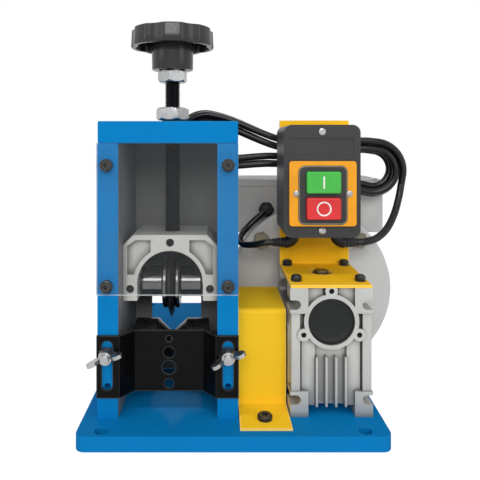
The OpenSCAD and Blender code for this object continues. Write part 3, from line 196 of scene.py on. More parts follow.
def lofted(rings, closed=False):
    """Points and faces of a skin over closed rings; the ends are filled unless the rings join up."""
    rings = np.asarray(rings, float)
    count, sides = rings.shape[:2]
    faces = skin(rings, wrap_rows=closed)
    if not closed:
        faces += [list(range(sides)), list(range((count - 1) * sides, count * sides))]
    return rings.reshape(-1, 3), faces


def assemble(name, *shells, flat_angle=35):
    """One piece made of several skins."""
    starts = np.cumsum([0] + [len(points) for points, faces in shells])
    faces = [[corner + start for corner in face]
             for (points, own), start in zip(shells, starts) for face in own]
    return new_piece(name, np.vstack([points for points, own in shells]), faces, flat_angle)


def turned(profile, steps=96):
    """Rings of a profile of (radius, height) pairs carried round +Z."""
    profile = np.asarray(profile, float)
    return round_points(profile[:, :1], circle(steps), profile[:, 1:])


def along_x(points, at):
    """Lays a shape drawn along +Z along +X and moves it to its place."""
    return points[..., [2, 0, 1]] + np.asarray(at, float)


def along_y(points, at):
    """Lays a shape drawn along +Z along +Y and moves it to its place."""
    return points[..., [0, 2, 1]] * (1, 1, -1) + np.asarray(at, float)


def to_front(points, at):
    """Lays a shape drawn along +Z towards the operator, along -Y, and moves it to its place."""
    return points[..., [0, 2, 1]] * (1, -1, 1) + np.asarray(at, float)


def rect_ring(width, height, corner, per_corner=9):
    """Points round a rectangle whose corners are quarter circles."""
    turn = np.arange(4)[:, None] * math.pi / 2 + np.linspace(0, math.pi / 2, per_corner)
    x = np.array([1, -1, -1, 1])[:, None] * (width / 2 - corner) + corner * np.cos(turn)
    y = np.array([1, 1, -1, -1])[:, None] * (height / 2 - corner) + corner * np.sin(turn)
    return np.stack([x, y], -1).reshape(-1, 2)


def rect_rings(width, height, corner, rows):
    """Rounded rectangles stacked along +Z; each row is (height, how far the outline is drawn in)."""
    rings = []
    for level, inset in rows:
        ring = rect_ring(width - 2 * inset, height - 2 * inset, max(corner - inset, 0.3))
        rings.append(np.column_stack([ring, np.full(len(ring), level)]))
    return np.stack(rings)


def edge_rows(start, end, radius, steps=5):
    """Rows of a slab from start to end whose last edge is a quarter round."""
    a = np.linspace(0, math.pi / 2, steps)
    rounded = np.column_stack([end - radius + radius * np.sin(a), radius - radius * np.cos(a)])
    return np.vstack([[start, 0], rounded])


def tube(path, radius, sides=20):
    """Skin of a round tube along a path; its rings stand square to it and start from the path's own plane."""
    path = np.asarray(path, float)
    heading = np.gradient(path, axis=0)
    heading /= np.linalg.norm(heading, axis=1, keepdims=True)
    plane = np.linalg.svd(path - path.mean(0))[2][2]
    normal = plane - heading * (heading @ plane)[:, None]
    normal /= np.linalg.norm(normal, axis=1, keepdims=True)
    side = np.cross(heading, normal)
    angle = circle(sides)[None, :, None]
    radius = np.broadcast_to(np.asarray(radius, float), (len(path),))[:, None, None]
    rings = path[:, None] + radius * (np.cos(angle) * normal[:, None] + np.sin(angle) * side[:, None])
    return lofted(rings)


def smooth_route(points, steps):
    """A curve through points: between two runs the cubic with the neighbours' mean direction at both."""
    p = np.asarray(points, float)
    p = np.vstack([p[:1], p, p[-1:]])
    a, b, c, d = (p[i:len(p) - 3 + i, None] for i in range(4))
    f = (np.arange(steps) / steps)[None, :, None]
    curve = b + (c - a) * f / 2 + (2 * a - 5 * b + 4 * c - d) * f**2 / 2 + (3 * b - a - 3 * c + d) * f**3 / 2
    return np.vstack([curve.reshape(-1, 3), p[-1:]])


def rounded_copy(node, name, width, segments=2, flat_angle=35):
    """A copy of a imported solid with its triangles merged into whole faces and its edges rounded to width."""
    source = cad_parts[node].data
    source.calc_loop_triangles()
    corners = np.empty(len(source.loop_triangles) * 3, np.int32)
    source.loop_triangles.foreach_get("vertices", corners)
    mesh = bpy.data.meshes.new(name)
    mesh.from_pydata(mesh_points(source).tolist(), [], corners.reshape(-1, 3).tolist())
    work = bmesh.new()
    work.from_mesh(mesh)
    bmesh.ops.remove_doubles(work, verts=work.verts, dist=2e-6)
    bmesh.ops.dissolve_degenerate(work, edges=work.edges, dist=1e-6)
    bmesh.ops.dissolve_limit(work, angle_limit=math.radians(0.5), verts=work.verts, edges=work.edges)
    work.to_mesh(mesh)
    work.free()
    crisp(mesh, flat_angle)
    piece = link(name, mesh)
    edge = piece.modifiers.new("Edges", "BEVEL")
    edge.width = width * MM
    edge.segments = segments
    edge.limit_method = "ANGLE"
    edge.angle_limit = math.radians(flat_angle)
    edge.harden_normals = True
    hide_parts(node)
    return piece


def eased_back(piece, amount):
    """Draws a sheet's back forward by so many millimetres, so that it doesn't lie in the plane behind."""
    mesh = piece.data
    points = mesh_points(mesh)
    middle_y = points[:, 1].mean()
    points[:, 1] -= np.where(points[:, 1] > middle_y, amount * MM, 0)
    mesh.vertices.foreach_set("co", points.ravel())
    mesh.update()
    return piece


# Finishes: every one is mixed from nodes on Object coordinates, in metres


class Nodes:
    """A node tree being wired."""

    def __init__(self, tree):
        self.tree = tree

    def node(self, kind, inputs, **fields):
        """A node with its fields set and its inputs given as values or joined to other nodes."""
        made = self.tree.nodes.new(kind)
        for field, value in fields.items():
            setattr(made, field, value)
        for socket, value in inputs.items():
            if isinstance(value, bpy.types.NodeSocket):
                self.tree.links.new(value, made.inputs[socket])
            else:
                made.inputs[socket].default_value = value
        return made

    def calc(self, operation, *values):
        """A number worked out from numbers and outputs."""
        return self.node("ShaderNodeMath", dict(enumerate(values)), operation=operation).outputs[0]

    def seen_rays(self):
        """One for rays from the camera, from gloss and through glass, and nought for the rest."""
        path = self.node("ShaderNodeLightPath", {}).outputs
        total = self.calc("MAXIMUM", path["Is Camera Ray"], path["Is Glossy Ray"])
        return self.calc("MAXIMUM", total, path["Is Transmission Ray"])


class Finish(Nodes):
    """A material being mixed: its shader and the nodes that feed it."""

    def __init__(self, name, values):
        self.material = bpy.data.materials.new(name)
        self.material.use_nodes = True
        super().__init__(self.material.node_tree)
        self.shader = self.tree.nodes["Principled BSDF"]
        self.place = self.tree.nodes.new("ShaderNodeTexCoord").outputs["Object"]
        for socket, value in values.items():
            self.shader.inputs[socket].default_value = value

    def join(self, output, socket):
        """Joins an output to one of the shader's sockets."""
        self.tree.links.new(output, self.shader.inputs[socket])

    def placed(self, stretch=(1, 1, 1), at=(0, 0, 0)):
        """Object coordinates measured from a point in millimetres and stretched along the axes."""
        values = {0: self.place, 1: np.asarray(at, float) * MM}
        moved = self.node("ShaderNodeVectorMath", values, operation="SUBTRACT")
        return self.node("ShaderNodeMapping", {"Vector": moved.outputs[0], "Scale": stretch}).outputs[0]

    def fed(self, socket):
        """The output that feeds one of the shader's sockets."""
        return self.shader.inputs[socket].links[0].from_socket

    def blend(self, fac, under, over, mode="MIX"):
        """A colour mixed from two by fac."""
        values = {0: fac, 6: under, 7: over}
        return self.node("ShaderNodeMix", values, data_type="RGBA", blend_type=mode).outputs[2]

    def noise(self, scale, detail=3, stretch=(1, 1, 1)):
        """Cloudy noise with about scale cells to the metre."""
        values = {"Vector": self.placed(stretch), "Scale": scale, "Detail": detail}
        return self.node("ShaderNodeTexNoise", values).outputs["Fac"]

    def rings(self, axis, at, pitch, wobble=1.5):
        """Fine rings round an axis through a point, pitch millimetres apart, as a lathe tool leaves them."""
        values = {"Vector": self.placed(at=at), "Scale": 0.314 / (pitch * MM), "Detail": 2}
        values["Distortion"] = wobble
        return self.node("ShaderNodeTexWave", values, wave_type="RINGS", rings_direction=axis).outputs["Fac"]

    def between(self, fac, low, high):
        """A number that runs from low to high as fac goes from a quarter to three quarters."""
        values = {"Value": fac, "From Min": 0.25, "From Max": 0.75, "To Min": low, "To Max": high}
        return self.node("ShaderNodeMapRange", values).outputs[0]

    def tint(self, fac, dark, light):
        """A colour between two, by fac."""
        return self.blend(fac, (*dark, 1), (*light, 1))

    def vary(self, colour, amount, fac):
        """The base colour, darker and lighter by a share as fac changes."""
        colour = np.array(colour[:3])
        wide = self.between(fac, 0, 1)
        self.join(self.tint(wide, colour * (1 - amount), np.minimum(colour * (1 + amount), 1)), "Base Color")

    def paint_cavity_shade(self, reach, least):
        """Paints shade into the base colour: darker in corners and hollows that are closed within reach
        metres.
        """
        open_sky = self.node("ShaderNodeAmbientOcclusion", {"Distance": reach}, samples=8).outputs["AO"]
        values = {"Value": open_sky, "From Min": 0.35, "To Min": least}
        painted_shade = self.node("ShaderNodeMapRange", values).outputs[0]
        self.join(self.blend(1.0, self.fed("Base Color"), painted_shade, "MULTIPLY"), "Base Color")

    def edges(self, reach, gain):
        """Paints a highlight into the base colour: a share of white along edges that stand out within reach
        metres.
        """
        values = {"Distance": reach}
        closed = self.node("ShaderNodeAmbientOcclusion", values, samples=8, inside=True).outputs["AO"]
        values = {"Value": closed, "From Min": 0.95, "From Max": 0.6, "To Max": gain}
        painted_highlight = self.node("ShaderNodeMapRange", values).outputs[0]
        self.join(self.blend(painted_highlight, self.fed("Base Color"), (1, 1, 1, 1)), "Base Color")

    def relief(self, layers):
        """Bumps in layers of (height, strength, depth in millimetres), the finest last."""
        normal = None
        for height, strength, depth in layers:
            values = {"Height": height, "Strength": strength, "Distance": depth * MM}
            if normal is not None:
                values["Normal"] = normal
            normal = self.node("ShaderNodeBump", values).outputs[0]
        self.join(normal, "Normal")


def enamel(name, colour, gloss=0.30, dimples=0.04):
    """Powder coat: a clear gloss over a colour that clouds a little, with the coat's fine dimples."""
    f = Finish(name, {"Coat Weight": 0.05, "Coat Roughness": 0.15, "Specular IOR Level": 0.0})
    cloud = f.noise(22, 4)
    f.vary(colour, 0.04, cloud)
    f.join(f.between(f.noise(90, 3), gloss - 0.03, gloss + 0.04), "Roughness")
    f.relief([(f.noise(700, 2), dimples, 0.10)])
    return f


def bare_inside(f, at, half, colour):
    """Leaves the faces of the gate's window bare: ground steel where the surface looks along X and lies
    within half the window's width of its middle."""
    normal = f.node("ShaderNodeNewGeometry", {}).outputs["True Normal"]
    sideways, off = (f.calc("ABSOLUTE", f.node("ShaderNodeSeparateXYZ", {0: vector}).outputs["X"])
                     for vector in (normal, f.placed(at=at)))
    bare = f.calc("MULTIPLY", f.calc("GREATER_THAN", sideways, 0.8), f.calc("LESS_THAN", off, half * MM))
    colour = np.array(colour)
    streaks = f.tint(f.noise(90, 1, (1, 1, 0.02)), colour * 0.96, colour * 1.04)
    f.join(f.blend(bare, f.fed("Base Color"), streaks), "Base Color")
    f.join(f.calc("MULTIPLY", bare, 0.3), "Metallic")
    f.join(f.node("ShaderNodeMix", {0: bare, 2: f.fed("Roughness"), 3: 0.3}).outputs[0], "Roughness")


def casting(name, colour, metal=0.45, grain=0.32):
    """Blasted casting: small cavities and hills, a soft metal sheen and painted shade in the hollows."""
    f = Finish(name, {"Metallic": metal})
    hills = f.noise(420, 4)
    f.vary(colour, 0.08, f.noise(35, 5))
    # painted shade: the base colour darkens in hollows closed within 7 mm
    f.paint_cavity_shade(0.007, 0.30)
    f.join(f.between(hills, 0.36, 0.52), "Roughness")
    f.relief([(hills, grain, 0.18), (f.noise(1600, 2), grain * 0.8, 0.08)])


def plated(name, colour, rough=0.24):
    """Bright plating: clear metal with faint clouds and drawing lines."""
    f = Finish(name, {"Metallic": 1})
    f.vary(colour, 0.08, f.noise(180, 4))
    f.join(f.between(f.noise(300, 3), rough - 0.06, rough + 0.10), "Roughness")
    f.relief([(f.noise(900, 2, (1, 1, 0.2)), 0.08, 0.05)])


def lathe_steel(name, colour, axis, at, pitch=0.5, rough=0.26):
    """Turned steel: rings round the axis that catch the light, over slightly clouded metal."""
    f = Finish(name, {"Metallic": 1})
    rings = f.rings(axis, at, pitch)
    f.vary(colour, 0.10, f.noise(60, 4))
    f.join(f.between(rings, rough, rough + 0.12), "Roughness")
    f.relief([(rings, 0.22, 0.03)])


def blackened(name, colour, rough=0.36, shine=0.35):
    """Blackened steel: nearly black, satin, with lighter rubbed clouds."""
    f = Finish(name, {"Metallic": 0.2, "Specular IOR Level": shine})
    f.vary(colour, 0.35, f.noise(70, 5))
    f.join(f.between(f.noise(260, 4), rough - 0.08, rough + 0.10), "Roughness")
    f.relief([(f.noise(1100, 2), 0.12, 0.06)])
    return f


def moulded(name, colour, rough=0.42, grain=0.25, shine=0.35):
    """Moulded plastic: a fine spark-eroded grain and a slight flow mottle."""
    f = Finish(name, {"Specular IOR Level": shine})
    f.vary(colour, 0.10, f.noise(45, 4))
    f.join(f.between(f.noise(500, 3), rough - 0.06, rough + 0.08), "Roughness")
    f.relief([(f.noise(1500, 2), grain, 0.06)])


def cable_sheath(name, colour, rough=0.20):
    """Cable sheath: glossy soft plastic with scuffs and a faint lumpiness from the wires inside."""
    f = Finish(name, {"Specular IOR Level": 0.28})
    scuff = f.noise(140, 5)
    f.vary(colour, 0.30, scuff)
    f.join(f.between(scuff, rough - 0.04, rough + 0.10), "Roughness")
    f.relief([(f.noise(110, 2), 0.10, 0.4), (f.noise(1200, 2), 0.06, 0.05)])


def clear_sheet(name):
    """Clear acrylic: see-through with the faintest haze, a painted highlight on its rounded edges, and without
    a shadow.
    """
    f = Finish(name, {"Roughness": 0.05, "IOR": 1.49, "Specular IOR Level": 0.3})
    values = {0: f.node("ShaderNodeNewGeometry", {}).outputs["True Normal"], 1: (0, 1, 0)}
    front = f.node("ShaderNodeVectorMath", values, operation="DOT_PRODUCT").outputs["Value"]
    values = {"Value": f.calc("ABSOLUTE", front), "From Min": 0.97, "From Max": 0.6}
    edge = f.node("ShaderNodeMapRange", values).outputs[0]
    # painted highlight: the rounded edges are coloured near white and made less see-through
    f.join(f.tint(edge, (0.16, 0.17, 0.175), (0.86, 0.90, 0.92)), "Base Color")
    seen = f.calc("ADD", f.calc("MULTIPLY", edge, 0.75), f.between(f.noise(9, 2), 0.045, 0.085))
    shade = f.node("ShaderNodeLightPath", {}).outputs["Is Shadow Ray"]
    f.join(f.calc("MULTIPLY", seen, f.calc("SUBTRACT", 1.0, shade)), "Alpha")


def mix_finishes(colours):
    """Mixes every finish that the machine wears."""
    enamel("frame_enamel", colours.blue, 0.30)
    window = span("right_post")[0][0] - middle("top_plate")[0]
    post = enamel("post_enamel", colours.blue, 0.26, 0.005)
    bare_inside(post, middle("top_plate"), window + 1, (0.24, 0.25, 0.26))
    # painted highlight along the cover's and the bracket's edges and bends
    enamel("cover_enamel", colours.yellow, 0.28).edges(0.0012, 0.3)
    enamel("bracket_enamel", colours.amber, 0.32).edges(0.0012, 0.25)
    enamel("motor_enamel", colours.motor, 0.40)
    enamel("panel_enamel", colours.panel, 0.46)
    casting("gearbox_casting", colours.casting)
    casting("yoke_casting", colours.yoke, 0.25, 0.22)
    plated("zinc_plate", (0.40, 0.405, 0.41), 0.30)
    plated("passivated", (0.17, 0.155, 0.115), 0.34)
    lathe_steel("cutter_steel", (0.13, 0.13, 0.126), "X", CUTTER_AXIS, 0.6, 0.18)
    lathe_steel("collar_steel", (0.12, 0.12, 0.118), "X", CUTTER_AXIS, 0.6, 0.12)
    lathe_steel("blade_steel", (0.07, 0.07, 0.07), "X", CUTTER_AXIS, 0.35, 0.20)
    lathe_steel("feed_steel", (0.48, 0.48, 0.50), "X", FEED_AXIS, 0.5)
    lathe_steel("motor_steel", (0.50, 0.50, 0.52), "Y", WORM_AXIS, 0.6)
    lathe_steel("gear_bronze", (0.46, 0.29, 0.11), "X", FEED_AXIS, 0.5, 0.32)
    blackened("oiled_black", (0.008, 0.008, 0.009), 0.20, 0.30)
    # painted highlight along the screws' and the guide's edges
    blackened("screw_black", (0.016, 0.016, 0.015), 0.26, 0.40).edges(0.0008, 0.14)
    blackened("guide_black", (0.003, 0.003, 0.003), 0.24, 0.10).edges(0.0012, 0.05)
    blackened("roller_black", (0.012, 0.012, 0.013), 0.30)
    moulded("knob_plastic", (0.014, 0.015, 0.015), 0.24, 0.08, 0.4)
    moulded("plug_plastic", colours.black, 0.40, 0.30)
    moulded("cap_plastic", (0.013, 0.014, 0.014), 0.55, 0.30, 0.2)
    moulded("switch_plastic", colours.plastic, 0.44, 0.34, 0.25)
    moulded("face_moulded", colours.face, 0.34, 0.10, 0.2)
    moulded("bezel_plastic", (0.13, 0.115, 0.085), 0.20, 0.04, 0.5)
    moulded("start_plastic", colours.start, 0.30, 0.03, 0.3)
    moulded("stop_plastic", colours.stop, 0.30, 0.03, 0.3)
    moulded("mark_white", (0.74, 0.74, 0.70), 0.40, 0.04)
    moulded("cowl_plastic", (0.055, 0.056, 0.060), 0.46, 0.30)
    moulded("spider_rubber", (0.40, 0.035, 0.020), 0.55, 0.30)
    cable_sheath("cord_rubber", (0.005, 0.005, 0.0055))
    cable_sheath("gland_rubber", (0.014, 0.014, 0.015), 0.44)
    clear_sheet("clear_acrylic")


def dress(piece, finish, body="machine"):
    """Gives a piece its finish and lets it move with a body."""
    piece.data.materials.clear()
    piece.data.materials.append(bpy.data.materials[finish])
    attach(piece, body)
    return piece


# Pieces on the cords


def band_skin(depth, height, corner, thick, width):
    """A flat band round a rounded rectangle in the XY plane, with its width along Z."""
    inner = rect_ring(depth, height, corner)
    outer = rect_ring(depth + 2 * thick, height + 2 * thick, corner + thick)
    edge = 0.25 * thick
    loops = [(inner, edge), (outer, 0.6 * edge), (outer, width - 0.6 * edge), (inner, width - edge)]
    grid = np.stack([np.column_stack([ring, np.full(len(ring), level)]) for ring, level in loops], 1)
    return grid.reshape(-1, 3), skin(grid, wrap_rows=True)


def hank_tie():
    """A flat tie round the waist of the hank and the bracket, with its toothed lock at the back."""
    low, high = span("hank_tie")
    thick = 1.4
    depth, height = high[1] - low[1] - 2 * thick, high[2] - low[2] - 2 * thick
    points, faces = band_skin(depth, height, 2, thick, high[0] - low[0])
    x, y, z = middle("hank_tie")
    lock = rect_rings(7.5, 6, 1, edge_rows(0, 4.2, 1))
    lock = along_y(lock, (x, high[1] - 0.5, z + 6))
    tip = rect_rings(3.4, 9, 0.6, edge_rows(0, 1.2, 0.4))
    tip = along_y(tip, (x, high[1] + 1.2, z + 11))
    piece = assemble("hank_tie_band", (along_x(points, (low[0], y, z)), faces), lofted(lock), lofted(tip))
    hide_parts("hank_tie")
    return piece


def plug_frame(points):
    """Places a shape drawn along +Z at the hank's end, along the cord."""
    diameter = chosen_sizes().cord_diameter / MM
    end = hank_points(np.array([HANK_TURNS]))[0] - diameter * HANK_UP + (0, 0, BASE_TOP)
    across = np.array([-math.cos(HANK_TILT), 0, -math.sin(HANK_TILT)])
    return points[..., :1] * across + points[..., 1:2] * (0, 1, 0) - points[..., 2:] * HANK_UP + end


def oval_rings(rows, power=2.6, steps=48):
    """Stacked ovals between an ellipse and a rectangle; each row is (height, half width, half depth)."""
    rows = np.asarray(rows, float)
    a = circle(steps)
    x = np.sign(np.cos(a)) * np.abs(np.cos(a)) ** (2 / power)
    y = np.sign(np.sin(a)) * np.abs(np.sin(a)) ** (2 / power)
    return np.stack([rows[:, 1:2] * x, rows[:, 2:] * y, rows[:, :1] + 0 * a], -1)


def plug_body():
    """A moulded plug: a ribbed strain relief that grows into a waisted grip with a flat face."""
    t = np.linspace(0, 26, 53)
    relief = 4.6 + 2.4 * (t / 26) ** 1.5 + 0.45 * np.maximum(np.sin(t / 26 * TURN * 6), -0.3)
    body = [(26, 8, 7.4), (28, 9.6, 8.8), (32, 12.4, 10.6), (37, 13.4, 11.4), (44, 13.0, 10.8),
            (52, 13.6, 11.6), (58, 14, 12.2), (60.5, 13.8, 12), (61.6, 13.2, 11.4), (62, 12.2, 10.4)]
    piece = assemble("plug_grip", lofted(plug_frame(oval_rings(np.column_stack([t, relief, relief]), 2))),
                     lofted(plug_frame(oval_rings(body))))
    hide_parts("mains_plug")
    return piece


def plug_pins():
    """Two round pins with domed tips."""
    profile = [(2.4, 60), (2.4, 78.6), (2.1, 80), (1.5, 80.7), (0.6, 81), (0, 81)]
    shells = [lofted(plug_frame(turned(profile, 24) + (x, 0, 0))) for x in (-7, 7)]
    return assemble("plug_pins", *shells)


def hex_ring(across, steps=72):
    """Radius of a hexagon round its middle, measured across its flats."""
    return across / 2 / np.cos(circle(steps) % (math.pi / 3) - math.pi / 6)


def hex_rings(across, height, bore, steps=72):
    """A nut: a hexagon cut off by a cone at both ends that joins a bore, so the rings close on themselves."""
    t = np.array([0, 0.04, 0.09, 0.15, 0.5, 0.85, 0.91, 0.96, 1])
    cone = across * (0.485 + np.minimum(t, 1 - t) * 0.62)
    outer = np.minimum(hex_ring(across, steps)[None], cone[:, None])
    inner = np.full((4, steps), bore / 2) + np.array([[0.8], [0], [0], [0.8]])
    radius = np.vstack([outer, inner])
    level = np.concatenate([t, [1, 0.93, 0.07, 0]])[:, None] * height
    return round_points(radius, circle(steps), level)


def boot_skin(side, tip):
    """An angled boot: a flange under the box, a quarter bend and a ribbed taper down to the cord."""
    start = np.array(BOOT_TIPS["tail" if side > 0 else "lead"])
    bend, reach, collar = 9, 14, 3
    turn = np.linspace(math.pi, 1.5 * math.pi, 13)
    elbow = np.stack([bend + bend * np.cos(turn), 0 * turn, bend + bend * np.sin(turn)], -1)
    run = np.linspace(0, reach, 43)[1:]
    straight = np.stack([bend + run, 0 * run, 0 * run], -1)
    path = np.vstack([[(0, 0, bend + collar), (0, 0, bend + 0.6)], elbow, straight])
    ribs = 0.5 * np.maximum(np.cos(run / reach * TURN * 4), -0.2)
    radius = np.concatenate([[6, 6], np.full(13, 6.0), 6 + (tip - 6) * run / reach - 0.5 + ribs])
    points, faces = tube(path, radius, 28)
    flange, more = lofted(turned([(8, bend), (8, bend + 2.4), (7.4, bend + collar)], 40))
    corner = start - (side * (bend + reach), 0, -BASE_TOP)
    return [(points * (side, 1, 1) + corner, faces), (flange + corner, more)]


def cable_boots():
    """The two boots under the switch box and the gland on the terminal box."""
    sizes = chosen_sizes()
    shells = boot_skin(1, sizes.cord_diameter / MM / 2 + 0.8)
    shells += boot_skin(-1, sizes.lead_diameter / MM / 2 + 0.8)
    at = np.array(LEAD_END) + (0, 0, BASE_TOP)
    dome = np.linspace(0, 7, 22)
    dome_r = 5 + 1.6 * np.sqrt(dome / 7) + 0.25 * np.sin(dome / 7 * TURN * 4)
    shells.append(lofted(along_y(turned(np.column_stack([dome_r, dome]), 40), at)))
    rows = np.minimum(hex_ring(17)[None], np.array([8.4, 9.2, 9.2, 8.6])[:, None])
    level = np.array([6.6, 7.3, 11.4, 12])[:, None]
    shells.append(lofted(along_y(round_points(rows, circle(72), level), at)))
    piece = assemble("cable_boots", *shells)
    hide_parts("cable_glands")
    return piece


class MACHINE_OT_finishes(Operator):
    """Mixes the finishes"""

    bl_idname = "machine.finishes"
    bl_label = "Finishes"

    def execute(self, context):
        mix_finishes(context.scene.machine_colours)
        return {"FINISHED"}


# Light, floor and camera


def lamp(name, at, aim, width, height, power):
    """A soft rectangular lamp at a point in metres, turned towards another."""
    data = bpy.data.lights.new(name, "AREA")
    data.shape = "RECTANGLE"
    data.size = width
    data.size_y = height
    data.energy = power
    made = link(name, data)
    made.location = at
    made.rotation_euler = look(at, aim)


def look(at, aim):
    """Turn that points a lamp or camera from one point to another, kept level."""
    x, y, z = np.subtract(aim, at)
    return (math.atan2(math.hypot(x, y), -z), 0, math.atan2(-x, y))


def white_surroundings(scene, level):
    """White to the eye and in reflections, and an even light of the given level otherwise."""
    world = bpy.data.worlds.new("surroundings")
    scene.world = world
    world.use_nodes = True
    w = Nodes(world.node_tree)
    values = {"Value": w.seen_rays(), "To Min": level, "To Max": 1.0}
    strength = w.node("ShaderNodeMapRange", values).outputs[0]
    background = w.tree.nodes["Background"]
    background.inputs["Color"].default_value = (1, 1, 1, 1)
    w.tree.links.new(strength, background.inputs["Strength"])


def pale_floor(reach):
    """A pale floor that shows white to the eye and keeps a faint shadow."""
    corners = reach / MM * np.array([[-1, -1, 0], [1, -1, 0], [1, 1, 0], [-1, 1, 0]])
    floor = new_piece("floor", corners - (0, 0, 0.2), [[0, 1, 2, 3]])
    material = bpy.data.materials.new("pale_floor")
    material.use_nodes = True
    f = Nodes(material.node_tree)
    shader = f.tree.nodes["Principled BSDF"]
    shader.inputs["Base Color"].default_value = (0.86, 0.86, 0.86, 1)
    shader.inputs["Roughness"].default_value = 0.9
    glow = f.node("ShaderNodeEmission", {"Strength": 1.27}).outputs[0]
    share = f.calc("MULTIPLY", f.seen_rays(), 0.72)
    mix = f.node("ShaderNodeMixShader", {0: share, 1: shader.outputs[0], 2: glow}).outputs[0]
    f.tree.links.new(mix, f.tree.nodes["Material Output"].inputs["Surface"])
    floor.data.materials.append(material)


# Each lamp's place and aim in metres, its width, its height and its power in watts
LAMPS = {
    "key_lamp": ((0.05, -2.6, 1.35), (0, -0.05, 0.2), 2.0, 0.9, 38),
    "right_lamp": ((2.0, -1.5, 0.9), (0.05, -0.05, 0.15), 1.0, 1.6, 8),
    "left_lamp": ((-2.0, -1.3, 1.0), (-0.05, -0.05, 0.15), 1.0, 1.6, 7),
    "strip_lamp": ((-0.1, -0.75, 1.7), (0, -0.1, 0.1), 1.3, 0.2, 7),
    "back_lamp": ((0.3, 1.9, 1.5), (0, 0, 0.15), 1.4, 1.0, 8),
}


class MACHINE_OT_stage(Operator):
    """Sets the floor, the light and the camera"""

    bl_idname = "machine.stage"
    bl_label = "Stage"

    def execute(self, context):
        scene = context.scene
        scene.view_settings.view_transform = "Standard"
        white_surroundings(scene, level=0.28)
        pale_floor(reach=40)
        for name, values in LAMPS.items():
            lamp(name, *values)
        data = bpy.data.cameras.new("camera")
        data.sensor_width = 36
        data.lens = scene.machine_sizes.camera_lens
        data.shift_x = 0.048
        data.shift_y = -0.2021
        camera = link("camera", data)
        camera.location = (-0.0147, -0.6426, 0.2724)
        camera.rotation_euler = (math.radians(90), 0, 0)
        scene.camera = camera
        return {"FINISHED"}


# Cords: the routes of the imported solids, in millimetres above the base plate's top

BOOT_TIPS = {"lead": (44.5, -93.5, 152.5), "tail": (134.5, -93.5, 152.5)}
LEAD_END = (45, -30, 178)
LEAD_POINTS = ((36, -93, 152), (25, -89, 149), (16, -79, 147), (12, -65, 147), (13, -52, 152), (21, -45, 161),
               (32, -42, 171), (41, -39, 177))
TAIL_POINTS = ((144, -93, 153), (157, -89, 156), (171, -79, 164), (184, -65, 178), (194, -52, 196))
HANK_MIDDLE = (70, -45, 244)
HANK_TILT = math.radians(-9.65)
HANK_TURNS = 3.5
HANK_HALF = 133
HANK_FOLD = 34
HANK_WAIST = 18
HANK_STEP = 9
HANK_ARC = 0.14
HANK_UP = np.array([-math.sin(HANK_TILT), 0, math.cos(HANK_TILT)])


def hank_points(u):
    """Points of the hank after u loops: straight runs drawn in at the waist by a cosine between round folds,
    each loop a step further in than the last on the front layer and a step further out on the back layer."""
    inset = HANK_STEP * (HANK_TURNS / 2 - np.abs(u - HANK_TURNS / 2))
    ease = np.clip(2 * (u - HANK_TURNS / 2) + 0.5, 0, 1)
    layer = HANK_STEP * ease**2 * (3 - 2 * ease)
    q, r = u - np.floor(u), HANK_FOLD - inset
    run = HANK_HALF - HANK_FOLD
    right = np.where(q < 0.5, q, q - 1) / HANK_ARC * math.pi / 2
    left = (q - 0.5) / HANK_ARC * math.pi / 2
    top = run * (1 - 2 * (q - HANK_ARC) / (0.5 - 2 * HANK_ARC))
    bottom = run * (2 * (q - 0.5 - HANK_ARC) / (0.5 - 2 * HANK_ARC) - 1)
    drawn_in = (HANK_FOLD - HANK_WAIST) / 2 * np.array([1 + np.cos(math.pi * s / run) for s in (top, bottom)])
    where = [np.abs(right) <= math.pi / 2, np.abs(left) <= math.pi / 2, q < 0.5]
    x = np.select(where, [run + r * np.cos(right), -run - r * np.cos(left), top], bottom)
    z = np.select(where, [r * np.sin(right), -r * np.sin(left), r - drawn_in[0]], drawn_in[1] - r)
    c, s = math.cos(HANK_TILT), math.sin(HANK_TILT)
    return np.stack([x * c - z * s, layer, x * s + z * c], -1) + HANK_MIDDLE


def mains_route(diameter):
    """From the boot in a rising curve to the hank, round its loops and down into the plug."""
    loops = hank_points(np.linspace(0, HANK_TURNS, 253))
    first, last = loops[0] - diameter * HANK_UP, loops[-1] - diameter * HANK_UP
    start = np.array(BOOT_TIPS["tail"])
    bends = smooth_route([start + (2, 0, 0), *TAIL_POINTS, first - 4 * HANK_UP], 9)
    return np.vstack([start, bends, first, loops, last]) + (0, 0, BASE_TOP)


def lead_route():
    """From the boot round in a loop to the gland on the terminal box."""
    start, end = np.array(BOOT_TIPS["lead"]), np.array(LEAD_END)
    bends = smooth_route([start - (2, 0, 0), *LEAD_POINTS, end - (0, 4, 0)], 9)
    return np.vstack([start, bends, end]) + (0, 0, BASE_TOP)


class MACHINE_OT_cords(Operator):
    """Lays the mains cord with its hank, tie and plug, and the motor lead"""

    bl_idname = "machine.cords"
    bl_label = "Cords"

    def execute(self, context):
        sizes = context.scene.machine_sizes
        route = mains_route(sizes.cord_diameter / MM)
        cord = assemble("mains_cord", tube(route, sizes.cord_diameter / MM / 2, 18))
        dress(cord, "cord_rubber")
        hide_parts("cord_tail", "cord_hank")
        on_cord = [dress(hank_tie(), "gland_rubber")]
        on_cord.append(dress(plug_body(), "plug_plastic"))
        on_cord.append(dress(plug_pins(), "zinc_plate"))
        route = lead_route()
        lead = assemble("motor_lead_sheath", tube(route, sizes.lead_diameter / MM / 2, 18))
        dress(lead, "cord_rubber")
        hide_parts("motor_lead")
        dress(cable_boots(), "gland_rubber")
        return {"FINISHED"}


